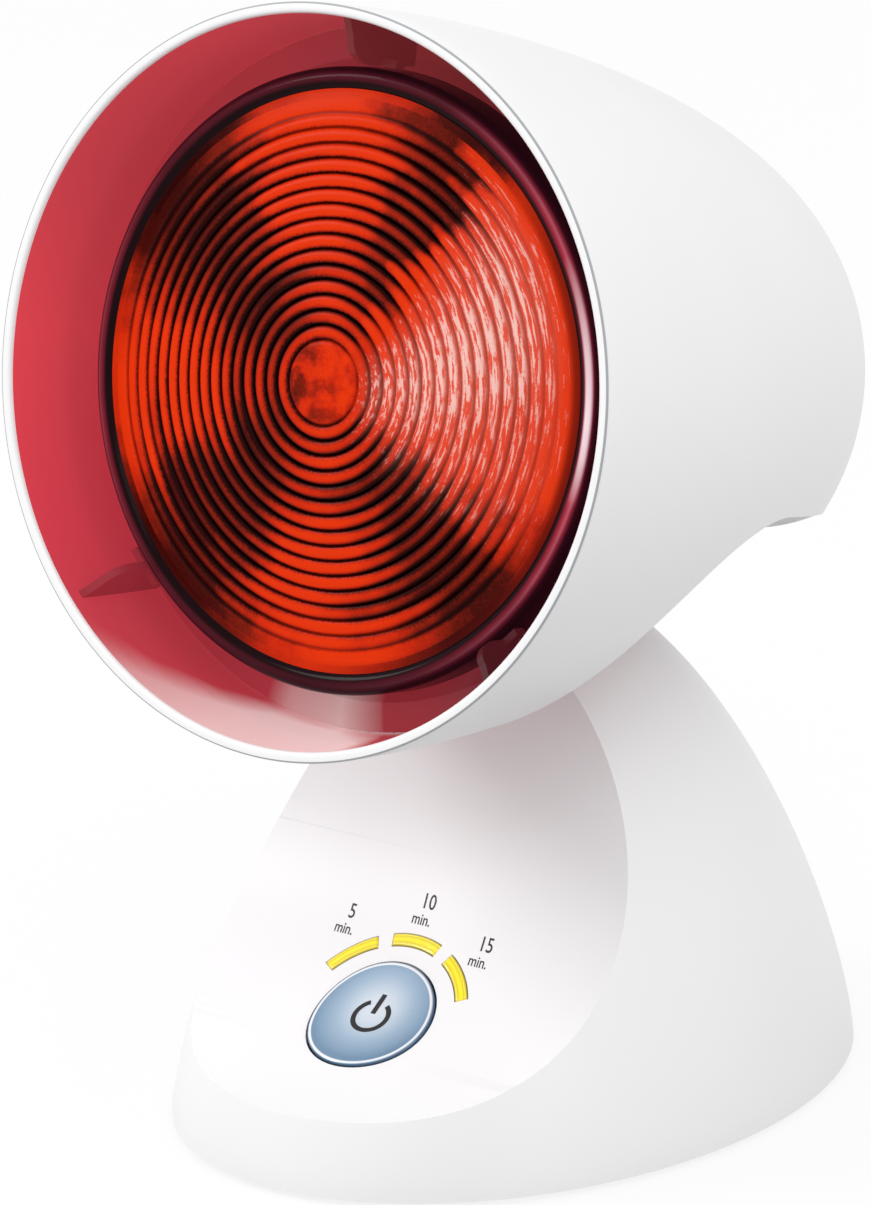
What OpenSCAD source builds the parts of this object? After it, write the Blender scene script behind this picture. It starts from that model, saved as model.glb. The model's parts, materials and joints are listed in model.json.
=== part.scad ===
// Infrared heat lamp: a reflector bulb in a domed hood that tilts on a domed stand with a timer
// panel. Millimetres, +Z up, the mouth of the hood faces -Y, the lamp is symmetric about X = 0.
// The origin lies on the table under the middle of the lamp's outline.

/* [Bulb] */
// Diameter over the bulb's glass rim
bulb_d = 121; // [112:0.5:124]
// Length of the bulb from the lens crown to the tip of its contact
bulb_len = 130; // [126:0.5:136]
// Height of the lens crown over its edge
lens_crown = 6; // [3:0.5:9]
// Width of the plain glass band between the lens and the rim's outside
rim_band = 3.6; // [2.5:0.1:5]
// Depth of the glass rim behind the lens
rim_depth = 8; // [5:0.5:11]
// Thickness of the pressed glass
glass = 2.6; // [2:0.1:3.2]
// Rings pressed into the lens
lens_rings = 15; // [8:1:24]
// Radius of the plain middle of the lens
lens_eye = 8.2; // [4:0.1:12]
// Depth of a lens ring
ring_depth = 0.7; // [0.2:0.1:1.2]
// Diameter of the bulb's neck
bulb_neck_d = 34; // [30:0.5:36]
// Diameter of the screw cap
cap_d = 26.4; // [25.6:0.1:26.6]
// Length of the screw cap's thread
cap_len = 24; // [20:0.5:26]

/* [Hood] */
// Wall of the hood
hood_wall = 2.2; // [1.6:0.1:3]
// Radial gap between the bulb's rim and the hood
bulb_gap = 9.8; // [7:0.2:14]
// How far the lens crown sits behind the hood's mouth
bulb_inset = 8.5; // [4:0.5:16]
// Room behind the bulb for its holder and the end of the hood
rear_room = 15.5; // [15:0.5:24]
// Shape of the hood's side line: higher keeps the front straighter
hood_shoulder = 1.6; // [1.4:0.05:2]
// Roundness of the hood's closed end: higher is blunter
hood_bluntness = 3.1; // [2.6:0.1:3.6]
// Thickness of the three ribs around the bulb's rim
rib_t = 1.6; // [1.4:0.1:3]
// Angle of the two lower ribs from the top one
rib_angle = 135; // [110:1:150]
// Radius of the arch over the stand, about the hinge
arch_r = 47.7; // [47.2:0.1:50]
// Radius of the arch's rear corner
arch_rear_r = 30; // [24:0.5:32]
// How far the arch's rear corner lies behind the hinge
arch_rear = 36; // [30:0.5:40]

/* [Tilt] */
// Tilt of the hood's axis over the horizontal
head_tilt = 10.5; // [0:0.5:20]
// Height of the hinge axis over the stand's lower edge
hinge_h = 78; // [76:0.5:79]
// Distance from the hinge axis to the hood's axis
axis_above = 67.5; // [66.5:0.1:69]
// Distance from the hinge axis forward to the hood's mouth
mouth_ahead = 86.7; // [84:0.1:90]
// Step between two tilt positions
detent_step = 10; // [6:1:12]
// Tilt positions
detents = 5; // [3:2:5]

/* [Stand] */
// Width of the stand at the table
stand_w = 122; // [112:1:134]
// Depth of the stand at the table
stand_d = 168; // [156:1:180]
// Height at which the stand's dome would close
dome_h = 105; // [103:0.5:108]
// Fall of the dome's side line: higher keeps the foot straighter
dome_foot = 1.35; // [1.25:0.01:1.45]
// Roundness of the dome's top: higher is blunter
dome_blunt = 1.79; // [1.7:0.01:1.9]
// Height at which the dome is open for the neck
dome_open_h = 95; // [93:0.5:96]
// Wall of the stand
stand_wall = 2.5; // [2:0.1:3]
// Distance from the stand's middle forward to the rearmost line of the hollow front panel
scoop_y = 13.8; // [12:0.1:18]
// Height of that panel's lowest line over the stand's lower edge
scoop_z = 14.3; // [11:0.1:18]
// Radius of the hollow front panel
scoop_r = 73.2; // [70:0.1:75]
// Thickness of the bottom plate
plate_t = 2.5; // [2:0.1:3.5]
// Height of the stand's lower edge over the table
foot_stand = 1.2; // [0.8:0.1:2.5]
// Diameter of a rubber foot
foot_d = 16; // [10:0.5:18]
// Distance of the feet from the middle, sideways
foot_x = 33; // [26:0.5:36]
// Distance of the feet from the middle, front and rear
foot_y = 50; // [44:0.5:54]

/* [Timer panel] */
// Place of the button: angle below the horizontal, seen from the panel's centre
button_at = 59; // [56:0.5:60]
// Width of the button
button_w = 26.4; // [22:0.2:28]
// Height of the button along the panel
button_h = 27.4; // [22:0.2:28]
// Travel of the button
button_travel = 1; // [0.6:0.1:1.2]
// Radius of the row of lights, about the button
light_r = 18.9; // [18.2:0.1:20.4]
// Width of a light
light_w = 2.8; // [2:0.1:3.4]
// Angle that one light spans
light_span = 34; // [24:1:38]
// Angle from one light to the next
light_step = 44; // [42:1:48]
// Distance of the timer board below the panel
board_depth = 11; // [10.6:0.1:12]

/* [Cord inlet] */
// Diameter of the passage for a mains cord
cord_d = 6.4; // [5:0.1:7.4]
// Diameter of the inlet bush in the wall
gland_d = 9.8; // [9:0.1:11]
// Height of the inlet over the stand's lower edge
gland_h = 13; // [11:0.5:18]

/* [Clearances] */
// Radial clearance of the hinge's bushes on the axle
run_clear = 0.05; // [0.02:0.01:0.1]
// Gap between a moving piece and its neighbour
move_gap = 0.4; // [0.3:0.05:0.6]
// Gap around a fixed piece in its seat
seat_gap = 0.1; // [0.05:0.05:0.2]

/* [Hidden] */
$fn = 72;
eps = 0.01;
far = 200;

// The common screw
screw_r = 1.5;
screw_head_r = 3;
screw_head_t = 2;

// The hood's own measures, from its mouth back
bulb_r = bulb_d / 2;
hood_r = bulb_r + bulb_gap + hood_wall;
hood_len = bulb_inset + bulb_len + rear_room;
lens_r = bulb_r - rim_band;
lens_edge = bulb_inset + lens_crown;
rim_end = lens_edge + rim_depth;
tip_at = bulb_inset + bulb_len;
tip_len = 1.5;
insulator_len = 3.5;
cap_end = tip_at - tip_len - insulator_len;
cap_start = cap_end - cap_len;
neck_end = cap_start - 4;

// The shroud around the bulb, and the bracket behind it
shroud_t = 2;
shroud_front = 26.4;
shroud_back = cap_start - 2;
shroud_front_r = bulb_r + 4;
shroud_back_r = 27;
shroud_hole_r = 21;
ledge_w = 3.5;
lip_r = 0.6;
shoe_t = 1.6;
lens_border = 5.2;
bracket_t = 1.6;
bracket_at = shroud_back;
bracket_w = 20;
bracket_margin = 1;
bracket_top = 26;
bracket_lap = 3;
bracket_foot_gap = 2;
bracket_foot = shroud_line(mouth_ahead - bracket_lap) + bracket_foot_gap;
post_x = 28;
post_up = 19;
post_down = 12;
post_r = 3.6;
post_bore_r = 1.3;
post_screw_len = 9;

// The lampholder
holder_r = 19.5;
holder_flange_t = 4;
holder_flange_h = 16;
sleeve_t = 0.7;
sleeve_r = cap_d / 2 + 0.3;
contact_t = 1.2;
holder_front = bracket_at + bracket_t;
holder_floor = tip_at + contact_t;
holder_back = holder_floor + 6;
holder_screw_x = shroud_back_r + screw_head_r + 1.5;
holder_flange_w = 2 * (holder_screw_x + 4);
bracket_plate_w = holder_flange_w + 2 * bracket_margin;

// The centre of the hollow panel's curve
scoop_mid_y = scoop_y + scoop_r;
scoop_mid_z = scoop_z + scoop_r;

// The neck and its hinge: the barrel stays clear of the panel's back
neck_half_w = 9;
neck_t = 14;
barrel_gap = 0.6;
barrel_r = norm([scoop_mid_y, scoop_mid_z - hinge_h]) - scoop_r - stand_wall - barrel_gap;
neck_screw_len = 8;
neck_solid = 17;
neck_wall = 2.2;
bush_r = 6;
axle_r = 4;
washer_t = 1;
washer_r = 9;
ear_in = neck_half_w + move_gap + washer_t;
ear_t = 3;
ear_out = ear_in + ear_t;
ear_below = 22;
ear_above = 12;
ear_rear = 50;
nut_t = 4;
nut_r = 6.5;
detent_r = 1.1;
leaf_t = 0.6;
leaf_w = 4;
leaf_x = 5.5;
leaf_len = 17;
leaf_screw_y = 13;
leaf_screw_r = 1.1;
leaf_seat = 6;

// The stand
stand_half_w = stand_w / 2;
stand_ratio = stand_d / stand_w;
inner_ratio = (stand_d / 2 - stand_wall * stand_ratio) / (stand_half_w - stand_wall);
plate_z = 0.8;
plate_top = plate_z + plate_t;
boss_x = 45;
boss_y = 22;
boss_r = 4.2;
foot_sink = 1.2;
plate_screw_len = 7;

// The timer panel and its board
button_flange = 1.8;
button_rise = 0.6;
button_over = 4;
flange_top = stand_wall + move_gap;
flange_t = 1.2;
plunger_r = 1.8;
switch_w = 7;
switch_h = 3.6;
plunger_top = 6.2;
board_w = 62;
board_low = -13;
board_high = 34;
board_t = 1.6;
board_screw_len = 5;
board_post_x = 26;
board_post_low = -9;
board_post_high = 30;
guide_end = 6.4;
led_r = 1.5;

// The power board
power_w = 62;
power_d = 46;
power_y = 30;
power_z = 9;
power_post_x = 27;
power_post_y = 19;
power_screw_len = 3.5;
relay_l = 19;
relay_w = 15.5;
capacitor_l = 18;
capacitor_w = 8.5;
capacitor_h = 14.5;
terminal_pitch = 8;
terminal_w = 10;
terminal_h = 11;
fuse_l = 20;
fuse_r = 2.4;

// The whole lamp, set so that its outline is centred on the origin
gland_flange_r = gland_d / 2 + 2.6;
gland_flange_t = 1.5;
gland_lean = atan((stand_line(gland_h - 5) - stand_line(gland_h + 5)) * stand_ratio / 10);
mouth_low_y = -mouth_ahead * cos(head_tilt) - (hood_r - axis_above) * sin(head_tilt);
centre_y = -(mouth_low_y + stand_d / 2) / 2;

// Radius of the hood's side line at a distance s behind the mouth
function hood_line(s, r, len) = r * pow(max(0, 1 - pow(s / len, hood_shoulder)), 1 / hood_bluntness);
// Half width of the stand at a height z
function stand_line(z) = stand_half_w * pow(max(0, 1 - pow(z / dome_h, dome_foot)), 1 / dome_blunt);
// Radius of the bulb's glass, s behind the mouth, from the rim to the neck
function bowl_line(s) = let (t = (s - rim_end) / (neck_end - rim_end))
    bulb_neck_d / 2 + (bulb_r - bulb_neck_d / 2) * pow(max(0, 1 - t), 1.1);
// Outer radius of the shroud, s behind the mouth
function shroud_line(s) = let (t = (s - shroud_front) / (shroud_back - shroud_front))
    shroud_back_r + (shroud_front_r - shroud_back_r) * pow(max(0, 1 - t), 1.25);
// Height of the lens over its edge at a radius r, with the rings
function lens_line(r, lift) = lens_crown * (1 - pow(r / lens_r, 2)) + lift;
// Values from a to b in n steps
function steps(a, b, n) = [for (i = [0:n]) a + (b - a) * i / n];

// ---- Frames ----

module in_stand() translate([0, centre_y, foot_stand]) children();

// About the hinge axis: z forward along the hood, y up from the hood's axis
module at_hinge() in_stand() translate([0, 0, hinge_h]) rotate([90 - head_tilt, 0, 0]) children();

// At the hood's mouth: z forward, so what lies s behind the mouth has z = -s
module in_head() at_hinge() translate([0, axis_above, mouth_ahead]) children();

// On the hollow panel under the button's middle: z out of the panel, y up along it
module in_panel() in_stand() on_scoop() children();

// The same frame within the stand's own
module on_scoop() translate([0, -scoop_mid_y, scoop_mid_z]) rotate([90 - button_at, 0, 0])
    translate([0, 0, -scoop_r]) children();

// ---- Shared forms ----

// A round form about the hood's axis from points [radius, distance behind the mouth]
module turned(points) rotate_extrude() polygon([for (p = points) [p[0], -p[1]]]);

// A round bar along X
module bar_x(r, x0, x1) translate([x0, 0, 0]) rotate([0, 90, 0]) cylinder(r = r, h = x1 - x0);

// A screw with its head's underside at z = 0 and its shank below
module screw(len, r = screw_r, head_r = screw_head_r, head_t = screw_head_t) {
    translate([0, 0, -len]) cylinder(r = r, h = len, $fn = 24);
    difference() {
        cylinder(r = head_r, h = head_t, $fn = 32);
        translate([0, 0, head_t - 0.9]) cylinder(r = head_r * 0.45, h = 1, $fn = 6);
    }
}

// A stretch of a ring in the XY plane, centred on +Y turned clockwise by at
module arc_band(r, w, span, at) {
    half = span / 2;
    turn = 90 - at;
    polygon(concat(
        [for (a = steps(-half, half, 12)) (r + w / 2) * [cos(turn + a), sin(turn + a)]],
        [for (a = steps(half, -half, 12)) (r - w / 2) * [cos(turn + a), sin(turn + a)]]
    ));
}

// ---- Hood ----

module dome_form(inset) {
    r = hood_r - inset;
    len = hood_len - inset;
    turned(concat(
        [[0, inset == 0 ? 0 : -eps], [r, inset == 0 ? 0 : -eps]],
        [for (a = steps(0, 90, 26)) [hood_line(len * sin(a), r, len), len * sin(a)]]
    ));
}

// The arch that lets the hood tilt over the stand: its front is round about the hinge
module hood_arch() at_hinge() rotate([0, -90, 0]) linear_extrude(far, center = true) {
    hull() {
        circle(r = arch_r);
        translate([-arch_rear, arch_r - arch_rear_r - 3]) circle(r = arch_rear_r);
    }
    translate([-far, -far]) square([far + arch_r, far]);
    translate([-far, -far]) square([far - arch_rear, far + arch_r - arch_rear_r - 3]);
}

// The mouth's lip is flat, and its two edges are rounded where this is cut away
module lip_round() {
    inner = hood_r - hood_wall;
    turned([[hood_r - lip_r, -eps], [hood_r + 1, -eps], [hood_r + 1, lip_r],
        for (a = steps(0, 90, 5)) [hood_r - lip_r + lip_r * cos(a), lip_r - lip_r * sin(a)]]);
    turned([[inner + lip_r, -eps], for (a = steps(90, 0, 5))
        [inner + lip_r - lip_r * cos(a), lip_r - lip_r * sin(a)], [inner - 1, lip_r], [inner - 1, -eps]]);
}

// A thin rib whose nose curves from the hood's wall to the bulb's rim, with a shoe beside the glass
module rim_rib() {
    inner = bulb_r + 0.5;
    outer = hood_r - hood_wall / 2;
    rotate([90, 0, 90]) linear_extrude(rib_t, center = true) polygon(concat(
        [for (a = steps(0, 90, 6)) [inner + 5 * (1 - sin(a)), -6 - 7 * (1 - cos(a))]],
        [[inner, -shroud_front], [outer, -shroud_front], [outer, -4]]
    ));
    translate([0, 0, -lens_edge - 4]) linear_extrude(3)
        arc_band(inner + shoe_t / 2, shoe_t, 9, 0);
}

module hood_posts() for (x = [-post_x, post_x], y = [post_up, -post_down])
    translate([x, y, -hood_len]) cylinder(r = post_r, h = hood_len - holder_front, $fn = 32);

module hood() color("white") difference() {
    in_head() {
        difference() {
            union() {
                difference() {
                    dome_form(0);
                    dome_form(hood_wall);
                    lip_round();
                }
                intersection() {
                    dome_form(hood_wall / 2);
                    union() {
                        hood_posts();
                        turned([[hood_r, shroud_front + shroud_t],
                            [hood_line(shroud_front, hood_r, hood_len) - hood_wall - ledge_w,
                                shroud_front + shroud_t],
                            [hood_r, shroud_front + shroud_t + 2 * ledge_w]]);
                        for (a = [0, rib_angle, -rib_angle]) rotate([0, 0, -a]) rim_rib();
                    }
                }
            }
            for (x = [-post_x, post_x], y = [post_up, -post_down])
                translate([x, y, -holder_front - 12]) cylinder(r = post_bore_r, h = 13, $fn = 24);
        }
    }
    hood_arch();
}

// ---- Shroud, bulb and lampholder ----

module bulb_shroud() color("white") in_head() difference() {
    turned(concat(
        [[shroud_hole_r, shroud_back], [shroud_back_r, shroud_back]],
        [for (s = steps(shroud_back - 1, shroud_front + shroud_t, 16)) [shroud_line(s), s]],
        [[hood_line(shroud_front + shroud_t, hood_r, hood_len) - hood_wall - 0.4,
            shroud_front + shroud_t],
         [hood_line(shroud_front + shroud_t, hood_r, hood_len) - hood_wall - 0.4, shroud_front],
         [shroud_front_r - shroud_t, shroud_front]],
        [for (s = steps(shroud_front + shroud_t, shroud_back - shroud_t, 16))
            [shroud_line(s) - shroud_t, s]],
        [[shroud_hole_r, shroud_back - shroud_t]]
    ));
    shroud_screw_places() translate([0, 0, -1]) cylinder(r = screw_r + seat_gap, h = 9, $fn = 24);
}

module shroud_screw_places() for (a = [90, 210, 330]) rotate([0, 0, a])
    translate([(shroud_hole_r + shroud_back_r - shroud_t) / 2, 0, -shroud_back - 1]) children();

module shroud_screws() color("silver") in_head() shroud_screw_places()
    translate([0, 0, 1 + shroud_t]) screw(shroud_t + bracket_t + 1.5, screw_r, 1.9, 1.4);

// Broad rings with narrow grooves between them, around a plain middle
module bulb_lens() color("orangered") in_head() {
    pitch = (lens_r - lens_border - lens_eye) / lens_rings;
    turned(concat(
        [[0, lens_edge - lens_line(0, 0)], [lens_eye - 0.2 * pitch, lens_edge - lens_line(lens_eye, 0)]],
        [for (i = [0:lens_rings - 1], part = [0, 0.2, 0.8])
            let (r = lens_eye + pitch * (i + part))
            [r, lens_edge - lens_line(r, part == 0 ? -ring_depth : 0)]],
        [[lens_r - lens_border, lens_edge - lens_line(lens_r - lens_border, -ring_depth)],
         [lens_r - lens_border + 0.6, lens_edge - lens_line(lens_r - lens_border + 0.6, -0.2)],
         [lens_r, lens_edge], [lens_r, lens_edge + glass]],
        [for (r = steps(lens_r - 0.5, 0, 10)) [r, lens_edge + glass - lens_line(r, 0)]]
    ));
}

module bulb_reflector() color("firebrick") in_head() turned(concat(
    [[lens_r, lens_edge - 0.6], [lens_r + 0.6, lens_edge - 1.4], [bulb_r - 1.2, lens_edge - 1],
     [bulb_r - 0.2, lens_edge + 0.8], [bulb_r, lens_edge + 2.5], [bulb_r, rim_end - 1]],
    [for (s = steps(rim_end, neck_end, 18)) [bowl_line(s), s]],
    [[cap_d / 2 - 0.8, cap_start], [cap_d / 2 - 0.8, cap_start + 6],
     [cap_d / 2 - 0.8 - glass, cap_start + 6], [cap_d / 2 - 0.8 - glass, cap_start - 1]],
    [for (s = steps(neck_end - 1, rim_end, 18)) [bowl_line(s) - glass, s]],
    [[bulb_r - glass, rim_end - 2], [bulb_r - glass, lens_edge + glass],
     [lens_r, lens_edge + glass]]
));

// A horseshoe coil on two support wires that stand in the neck
module bulb_filament() color("gold") in_head() {
    coil_at = rim_end + 34;
    coil_r = 8;
    wire_end = cap_start + 2.5;
    translate([0, 0, -coil_at]) rotate([0, 0, 20]) rotate_extrude(angle = 320)
        translate([coil_r, 0]) circle(r = 0.8, $fn = 16);
    for (a = [20, 340]) rotate([0, 0, a]) translate([coil_r, 0, -wire_end])
        cylinder(r = 0.6, h = wire_end - coil_at, $fn = 16);
    translate([0, 0, -wire_end - 3]) cylinder(r = cap_d / 2 - 0.8 - glass, h = 3);
    translate([0, 0, -wire_end]) cylinder(r = 3, h = 14, $fn = 32);
}

module bulb_cap() color("silver") in_head() {
    pitch = cap_len / 7;
    turned(concat(
        [[cap_d / 2 - 0.8, cap_start]],
        [for (i = [0:5]) each [[cap_d / 2 - 0.5, cap_start + pitch * (i + 0.15)],
            [cap_d / 2, cap_start + pitch * (i + 0.4)],
            [cap_d / 2 - 0.5, cap_start + pitch * (i + 0.9)]]],
        [[cap_d / 2 - 0.5, cap_end], [9, cap_end + 1.5], [8, cap_end + 1.5], [8, cap_end],
         [cap_d / 2 - 1.3, cap_end - 0.8], [cap_d / 2 - 1.3, cap_start + 6],
         [cap_d / 2 - 0.8, cap_start + 6]]
    ));
}

module bulb_insulator() color("dimgray") in_head() turned([[0, cap_end], [8, cap_end],
    [8, cap_end + 1.5], [5, cap_end + insulator_len], [0, cap_end + insulator_len]]);

module bulb_tip() color("silver") in_head()
    translate([0, 0, -tip_at]) cylinder(r1 = 3.6, r2 = 4.6, h = tip_len);

module lampholder() color("ivory") in_head() difference() {
    union() {
        translate([0, 0, -holder_back]) cylinder(r = holder_r, h = holder_back - holder_front);
        translate([0, 0, -holder_front - holder_flange_t / 2])
            cube([holder_flange_w, holder_flange_h, holder_flange_t], center = true);
    }
    translate([0, 0, -holder_floor]) cylinder(r = sleeve_r + sleeve_t, h = holder_floor);
    for (x = [-holder_screw_x, holder_screw_x]) translate([x, 0, -holder_front - 5])
        cylinder(r = screw_r, h = 6, $fn = 24);
    for (x = [-8, 8]) translate([x, 0, -holder_back - 1]) cylinder(r = 2, h = 8, $fn = 24);
}

module lampholder_sleeve() color("gainsboro") in_head() {
    pitch = cap_len / 7;
    from = holder_front + 2;
    turned([[sleeve_r + sleeve_t, from], [sleeve_r + sleeve_t, cap_end - 1],
        [sleeve_r, cap_end - 1], for (i = [5:-1:1]) each [[sleeve_r + 0.3, from + pitch * (i + 0.4)],
        [sleeve_r, from + pitch * i]], [sleeve_r, from]]);
}

module lampholder_contact() color("goldenrod") in_head() {
    translate([0, 0, -holder_floor]) cylinder(r = 6, h = contact_t);
    translate([-3, 0, -holder_floor]) cube([6, sleeve_r - 1, contact_t]);
}

module lampholder_screws() color("silver") in_head()
    for (x = [-holder_screw_x, holder_screw_x]) translate([x, 0, -bracket_at])
        screw(bracket_t + holder_flange_t);

// An angled steel plate: the tall leg carries the lampholder, shroud and hood, the foot the neck
module lamp_bracket() color("lightsteelblue") in_head() difference() {
    union() {
        translate([-bracket_plate_w / 2, -post_down - 7, -bracket_at - bracket_t])
            cube([bracket_plate_w, post_down + 7 + bracket_top, bracket_t]);
        translate([-bracket_w / 2, -bracket_foot - bracket_t, -bracket_at - bracket_t])
            cube([bracket_w, bracket_foot, bracket_t]);
        translate([-bracket_w / 2, -bracket_foot - bracket_t, -bracket_at - bracket_t])
            cube([bracket_w, bracket_t, bracket_at + bracket_t - mouth_ahead + bracket_lap]);
    }
    translate([0, 0, -bracket_at - bracket_t - 1]) cylinder(r = bulb_neck_d / 2 + 1.5, h = 4);
    for (x = [-holder_screw_x, holder_screw_x]) translate([x, 0, -bracket_at - 3])
        cylinder(r = screw_r + seat_gap, h = 5, $fn = 24);
    for (x = [-post_x, post_x], y = [post_up, -post_down]) translate([x, y, -bracket_at - 3])
        cylinder(r = screw_r + seat_gap, h = 5, $fn = 24);
    shroud_screw_places() translate([0, 0, -3]) cylinder(r = screw_r, h = 5, $fn = 24);
    neck_screw_places() translate([0, 0, -1]) cylinder(r = screw_r + seat_gap, h = 6, $fn = 24);
}

module bracket_screws() color("silver") in_head()
    for (x = [-post_x, post_x], y = [post_up, -post_down]) translate([x, y, -bracket_at])
        screw(bracket_t + post_screw_len, post_bore_r, 2.8, 1.8);

// ---- Neck and hinge ----

// The two screws from the bracket's foot down into the neck
module neck_screw_places() for (x = [-neck_half_w / 2, neck_half_w / 2])
    translate([x, -bracket_foot - bracket_t, -mouth_ahead - neck_t / 4]) rotate([-90, 0, 0])
        children();

// The neck's side view about the hinge: y up, x to the rear, notches under the barrel
module neck_side(inset) {
    top = axis_above - bracket_foot - bracket_t;
    difference() {
        union() {
            circle(r = barrel_r - inset);
            translate([-neck_t / 2 + inset, 0]) square([neck_t - 2 * inset, top - inset]);
        }
        if (inset == 0) for (i = [0:detents - 1])
            rotate(head_tilt + 180 + (i - (detents - 1) / 2) * detent_step)
                translate([0, barrel_r + detent_r * 0.35]) circle(r = detent_r, $fn = 24);
    }
}

// One half of the hollow neck, on the +X side
module neck_half() difference() {
    at_hinge() rotate([0, 90, 0]) linear_extrude(neck_half_w) neck_side(0);
    at_hinge() translate([-eps, 0, 0]) rotate([0, 90, 0])
        linear_extrude(neck_half_w - neck_wall + eps) difference() {
            neck_side(neck_wall);
            circle(r = bush_r + neck_wall);
            translate([-neck_t / 2, axis_above - bracket_foot - bracket_t - neck_solid])
                square([neck_t, neck_solid]);
        }
    at_hinge() bar_x(bush_r, -1, neck_half_w + 1);
    in_head() neck_screw_places() translate([0, 0, -neck_screw_len - 1])
        cylinder(r = post_bore_r, h = neck_screw_len + 2, $fn = 24);
}

module neck_left() color("whitesmoke") mirror([1, 0, 0]) neck_half();
module neck_right() color("whitesmoke") neck_half();

module neck_screws() color("silver") in_head() neck_screw_places()
    translate([0, 0, bracket_t]) screw(bracket_t + neck_screw_len, post_bore_r, 2.6, 1.6);

module hinge_bush() at_hinge() difference() {
    bar_x(bush_r, 0.5, neck_half_w);
    bar_x(axle_r + run_clear, 0, neck_half_w + 1);
}

module hinge_bush_left() color("khaki") mirror([1, 0, 0]) hinge_bush();
module hinge_bush_right() color("khaki") hinge_bush();

module hinge_axle() color("silver") at_hinge() {
    bar_x(axle_r, -ear_out, ear_out + nut_t + 1);
    bar_x(nut_r, -ear_out - 3, -ear_out);
}

module hinge_nut() color("silver") at_hinge() difference() {
    translate([ear_out, 0, 0]) rotate([0, 90, 0]) cylinder(r = nut_r + 0.5, h = nut_t, $fn = 6);
    bar_x(axle_r, ear_out - 1, ear_out + nut_t + 1);
}

module friction_washer() at_hinge() difference() {
    bar_x(washer_r, ear_in - washer_t, ear_in);
    bar_x(axle_r, 0, ear_in + 1);
}

module friction_washer_left() color("dimgray") mirror([1, 0, 0]) friction_washer();
module friction_washer_right() color("dimgray") friction_washer();

// A leaf spring whose nose lies in the lowest notch of the neck's barrel
leaf_z = hinge_h - barrel_r - detent_r * 1.35 - leaf_t;
module detent_spring() color("silver") in_stand() translate([-leaf_x, 0, 0]) {
    difference() {
        translate([-leaf_w / 2, -detent_r, leaf_z]) cube([leaf_w, leaf_len, leaf_t]);
        translate([0, leaf_screw_y, leaf_z - 1])
            cylinder(r = leaf_screw_r + seat_gap, h = 3, $fn = 24);
    }
    translate([0, 0, leaf_z + leaf_t]) difference() {
        translate([-leaf_w / 2, 0, detent_r * 0.35]) rotate([0, 90, 0])
            cylinder(r = detent_r - move_gap, h = leaf_w, $fn = 24);
        translate([-leaf_w, -3, -3]) cube([2 * leaf_w, 6, 3]);
    }
}

module detent_screw() color("silver") in_stand() translate([-leaf_x, leaf_screw_y, leaf_z + leaf_t])
    screw(leaf_seat - 1, leaf_screw_r, 1.9, 1.2);

// ---- Stand ----

// The domed form of the stand, as a pile of ellipses drawn in by wall
module stand_dome(wall, ratio, fn) scale([1, ratio, 1]) rotate_extrude($fn = fn)
    polygon(concat([[0, wall > 0 ? -1 : 0]],
        [for (a = steps(0, 88, wall > 0 ? 14 : 20)) let (z = dome_h * pow(sin(a), 1.2))
            [max(0.1, stand_line(z) - wall), wall > 0 && a == 0 ? -1 : z]],
        [[0, dome_h * pow(sin(88), 1.2)]]));

module panel_scoop(extra) translate([0, -scoop_mid_y, scoop_mid_z]) bar_x(scoop_r + extra, -far, far);

module stand_ears() for (x = [-ear_out, ear_in])
    translate([x, -far, hinge_h - ear_below]) cube([ear_t, far + ear_rear, ear_below + ear_above]);

module stand_bosses() for (x = [-boss_x, boss_x], y = [-boss_y, boss_y])
    translate([x, y, plate_top]) cylinder(r = boss_r, h = dome_h, $fn = 32);

module board_posts() on_scoop() for (x = [-board_post_x, board_post_x],
        y = [board_post_low, board_post_high])
    translate([x, y, -board_depth]) cylinder(r = 3, h = 30, $fn = 32);

module button_outline(grow) scale([(button_w / 2 + grow) / (button_h / 2 + grow), 1])
    circle(r = button_h / 2 + grow);

module stand_housing() color("white") in_stand() difference() {
    stand_dome(0, stand_ratio, 96);
    panel_scoop(0);
    translate([-far / 2, -far / 2, dome_open_h]) cube(far);
    difference() {
        stand_dome(stand_wall, inner_ratio, 64);
        panel_scoop(stand_wall);
        stand_ears();
        stand_bosses();
        board_posts();
        translate([-ear_in - 1, leaf_screw_y - 5, leaf_z - leaf_seat])
            cube([ear_in - leaf_x + leaf_w / 2 + 1, 8, leaf_seat]);
    }
    translate([0, 0, hinge_h]) bar_x(axle_r, -ear_out - 1, ear_out + 1);
    translate([-leaf_x, leaf_screw_y, leaf_z - leaf_seat + 1])
        cylinder(r = leaf_screw_r, h = leaf_seat, $fn = 24);
    for (x = [-boss_x, boss_x], y = [-boss_y, boss_y])
        translate([x, y, plate_top - 1])
            cylinder(r = post_bore_r, h = plate_screw_len + 4, $fn = 24);
    on_scoop() {
        translate([0, 0, -8]) linear_extrude(16) button_outline(move_gap);
        for (i = [-1:1]) translate([0, 0, -8]) linear_extrude(16)
            arc_band(light_r, light_w + 2 * seat_gap, light_span + 0.6, i * light_step);
        for (x = [-board_post_x, board_post_x], y = [board_post_low, board_post_high])
            translate([x, y, -board_depth - 1]) cylinder(r = 1.1, h = 7, $fn = 24);
    }
    gland_place() {
        translate([0, 0, -20]) cylinder(r = gland_d / 2 + seat_gap, h = 30, $fn = 48);
        cylinder(r = gland_flange_r + seat_gap, h = 10, $fn = 48);
    }
}

// The inlet's seat: z points out of the rear wall
module gland_place() translate([0, stand_line(gland_h) * stand_ratio - 1.6, gland_h])
    rotate([-90 + gland_lean, 0, 0]) children();

module plate_outline(gap) scale([1, inner_ratio])
    circle(r = stand_line(plate_top) - stand_wall - gap, $fn = 96);

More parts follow.
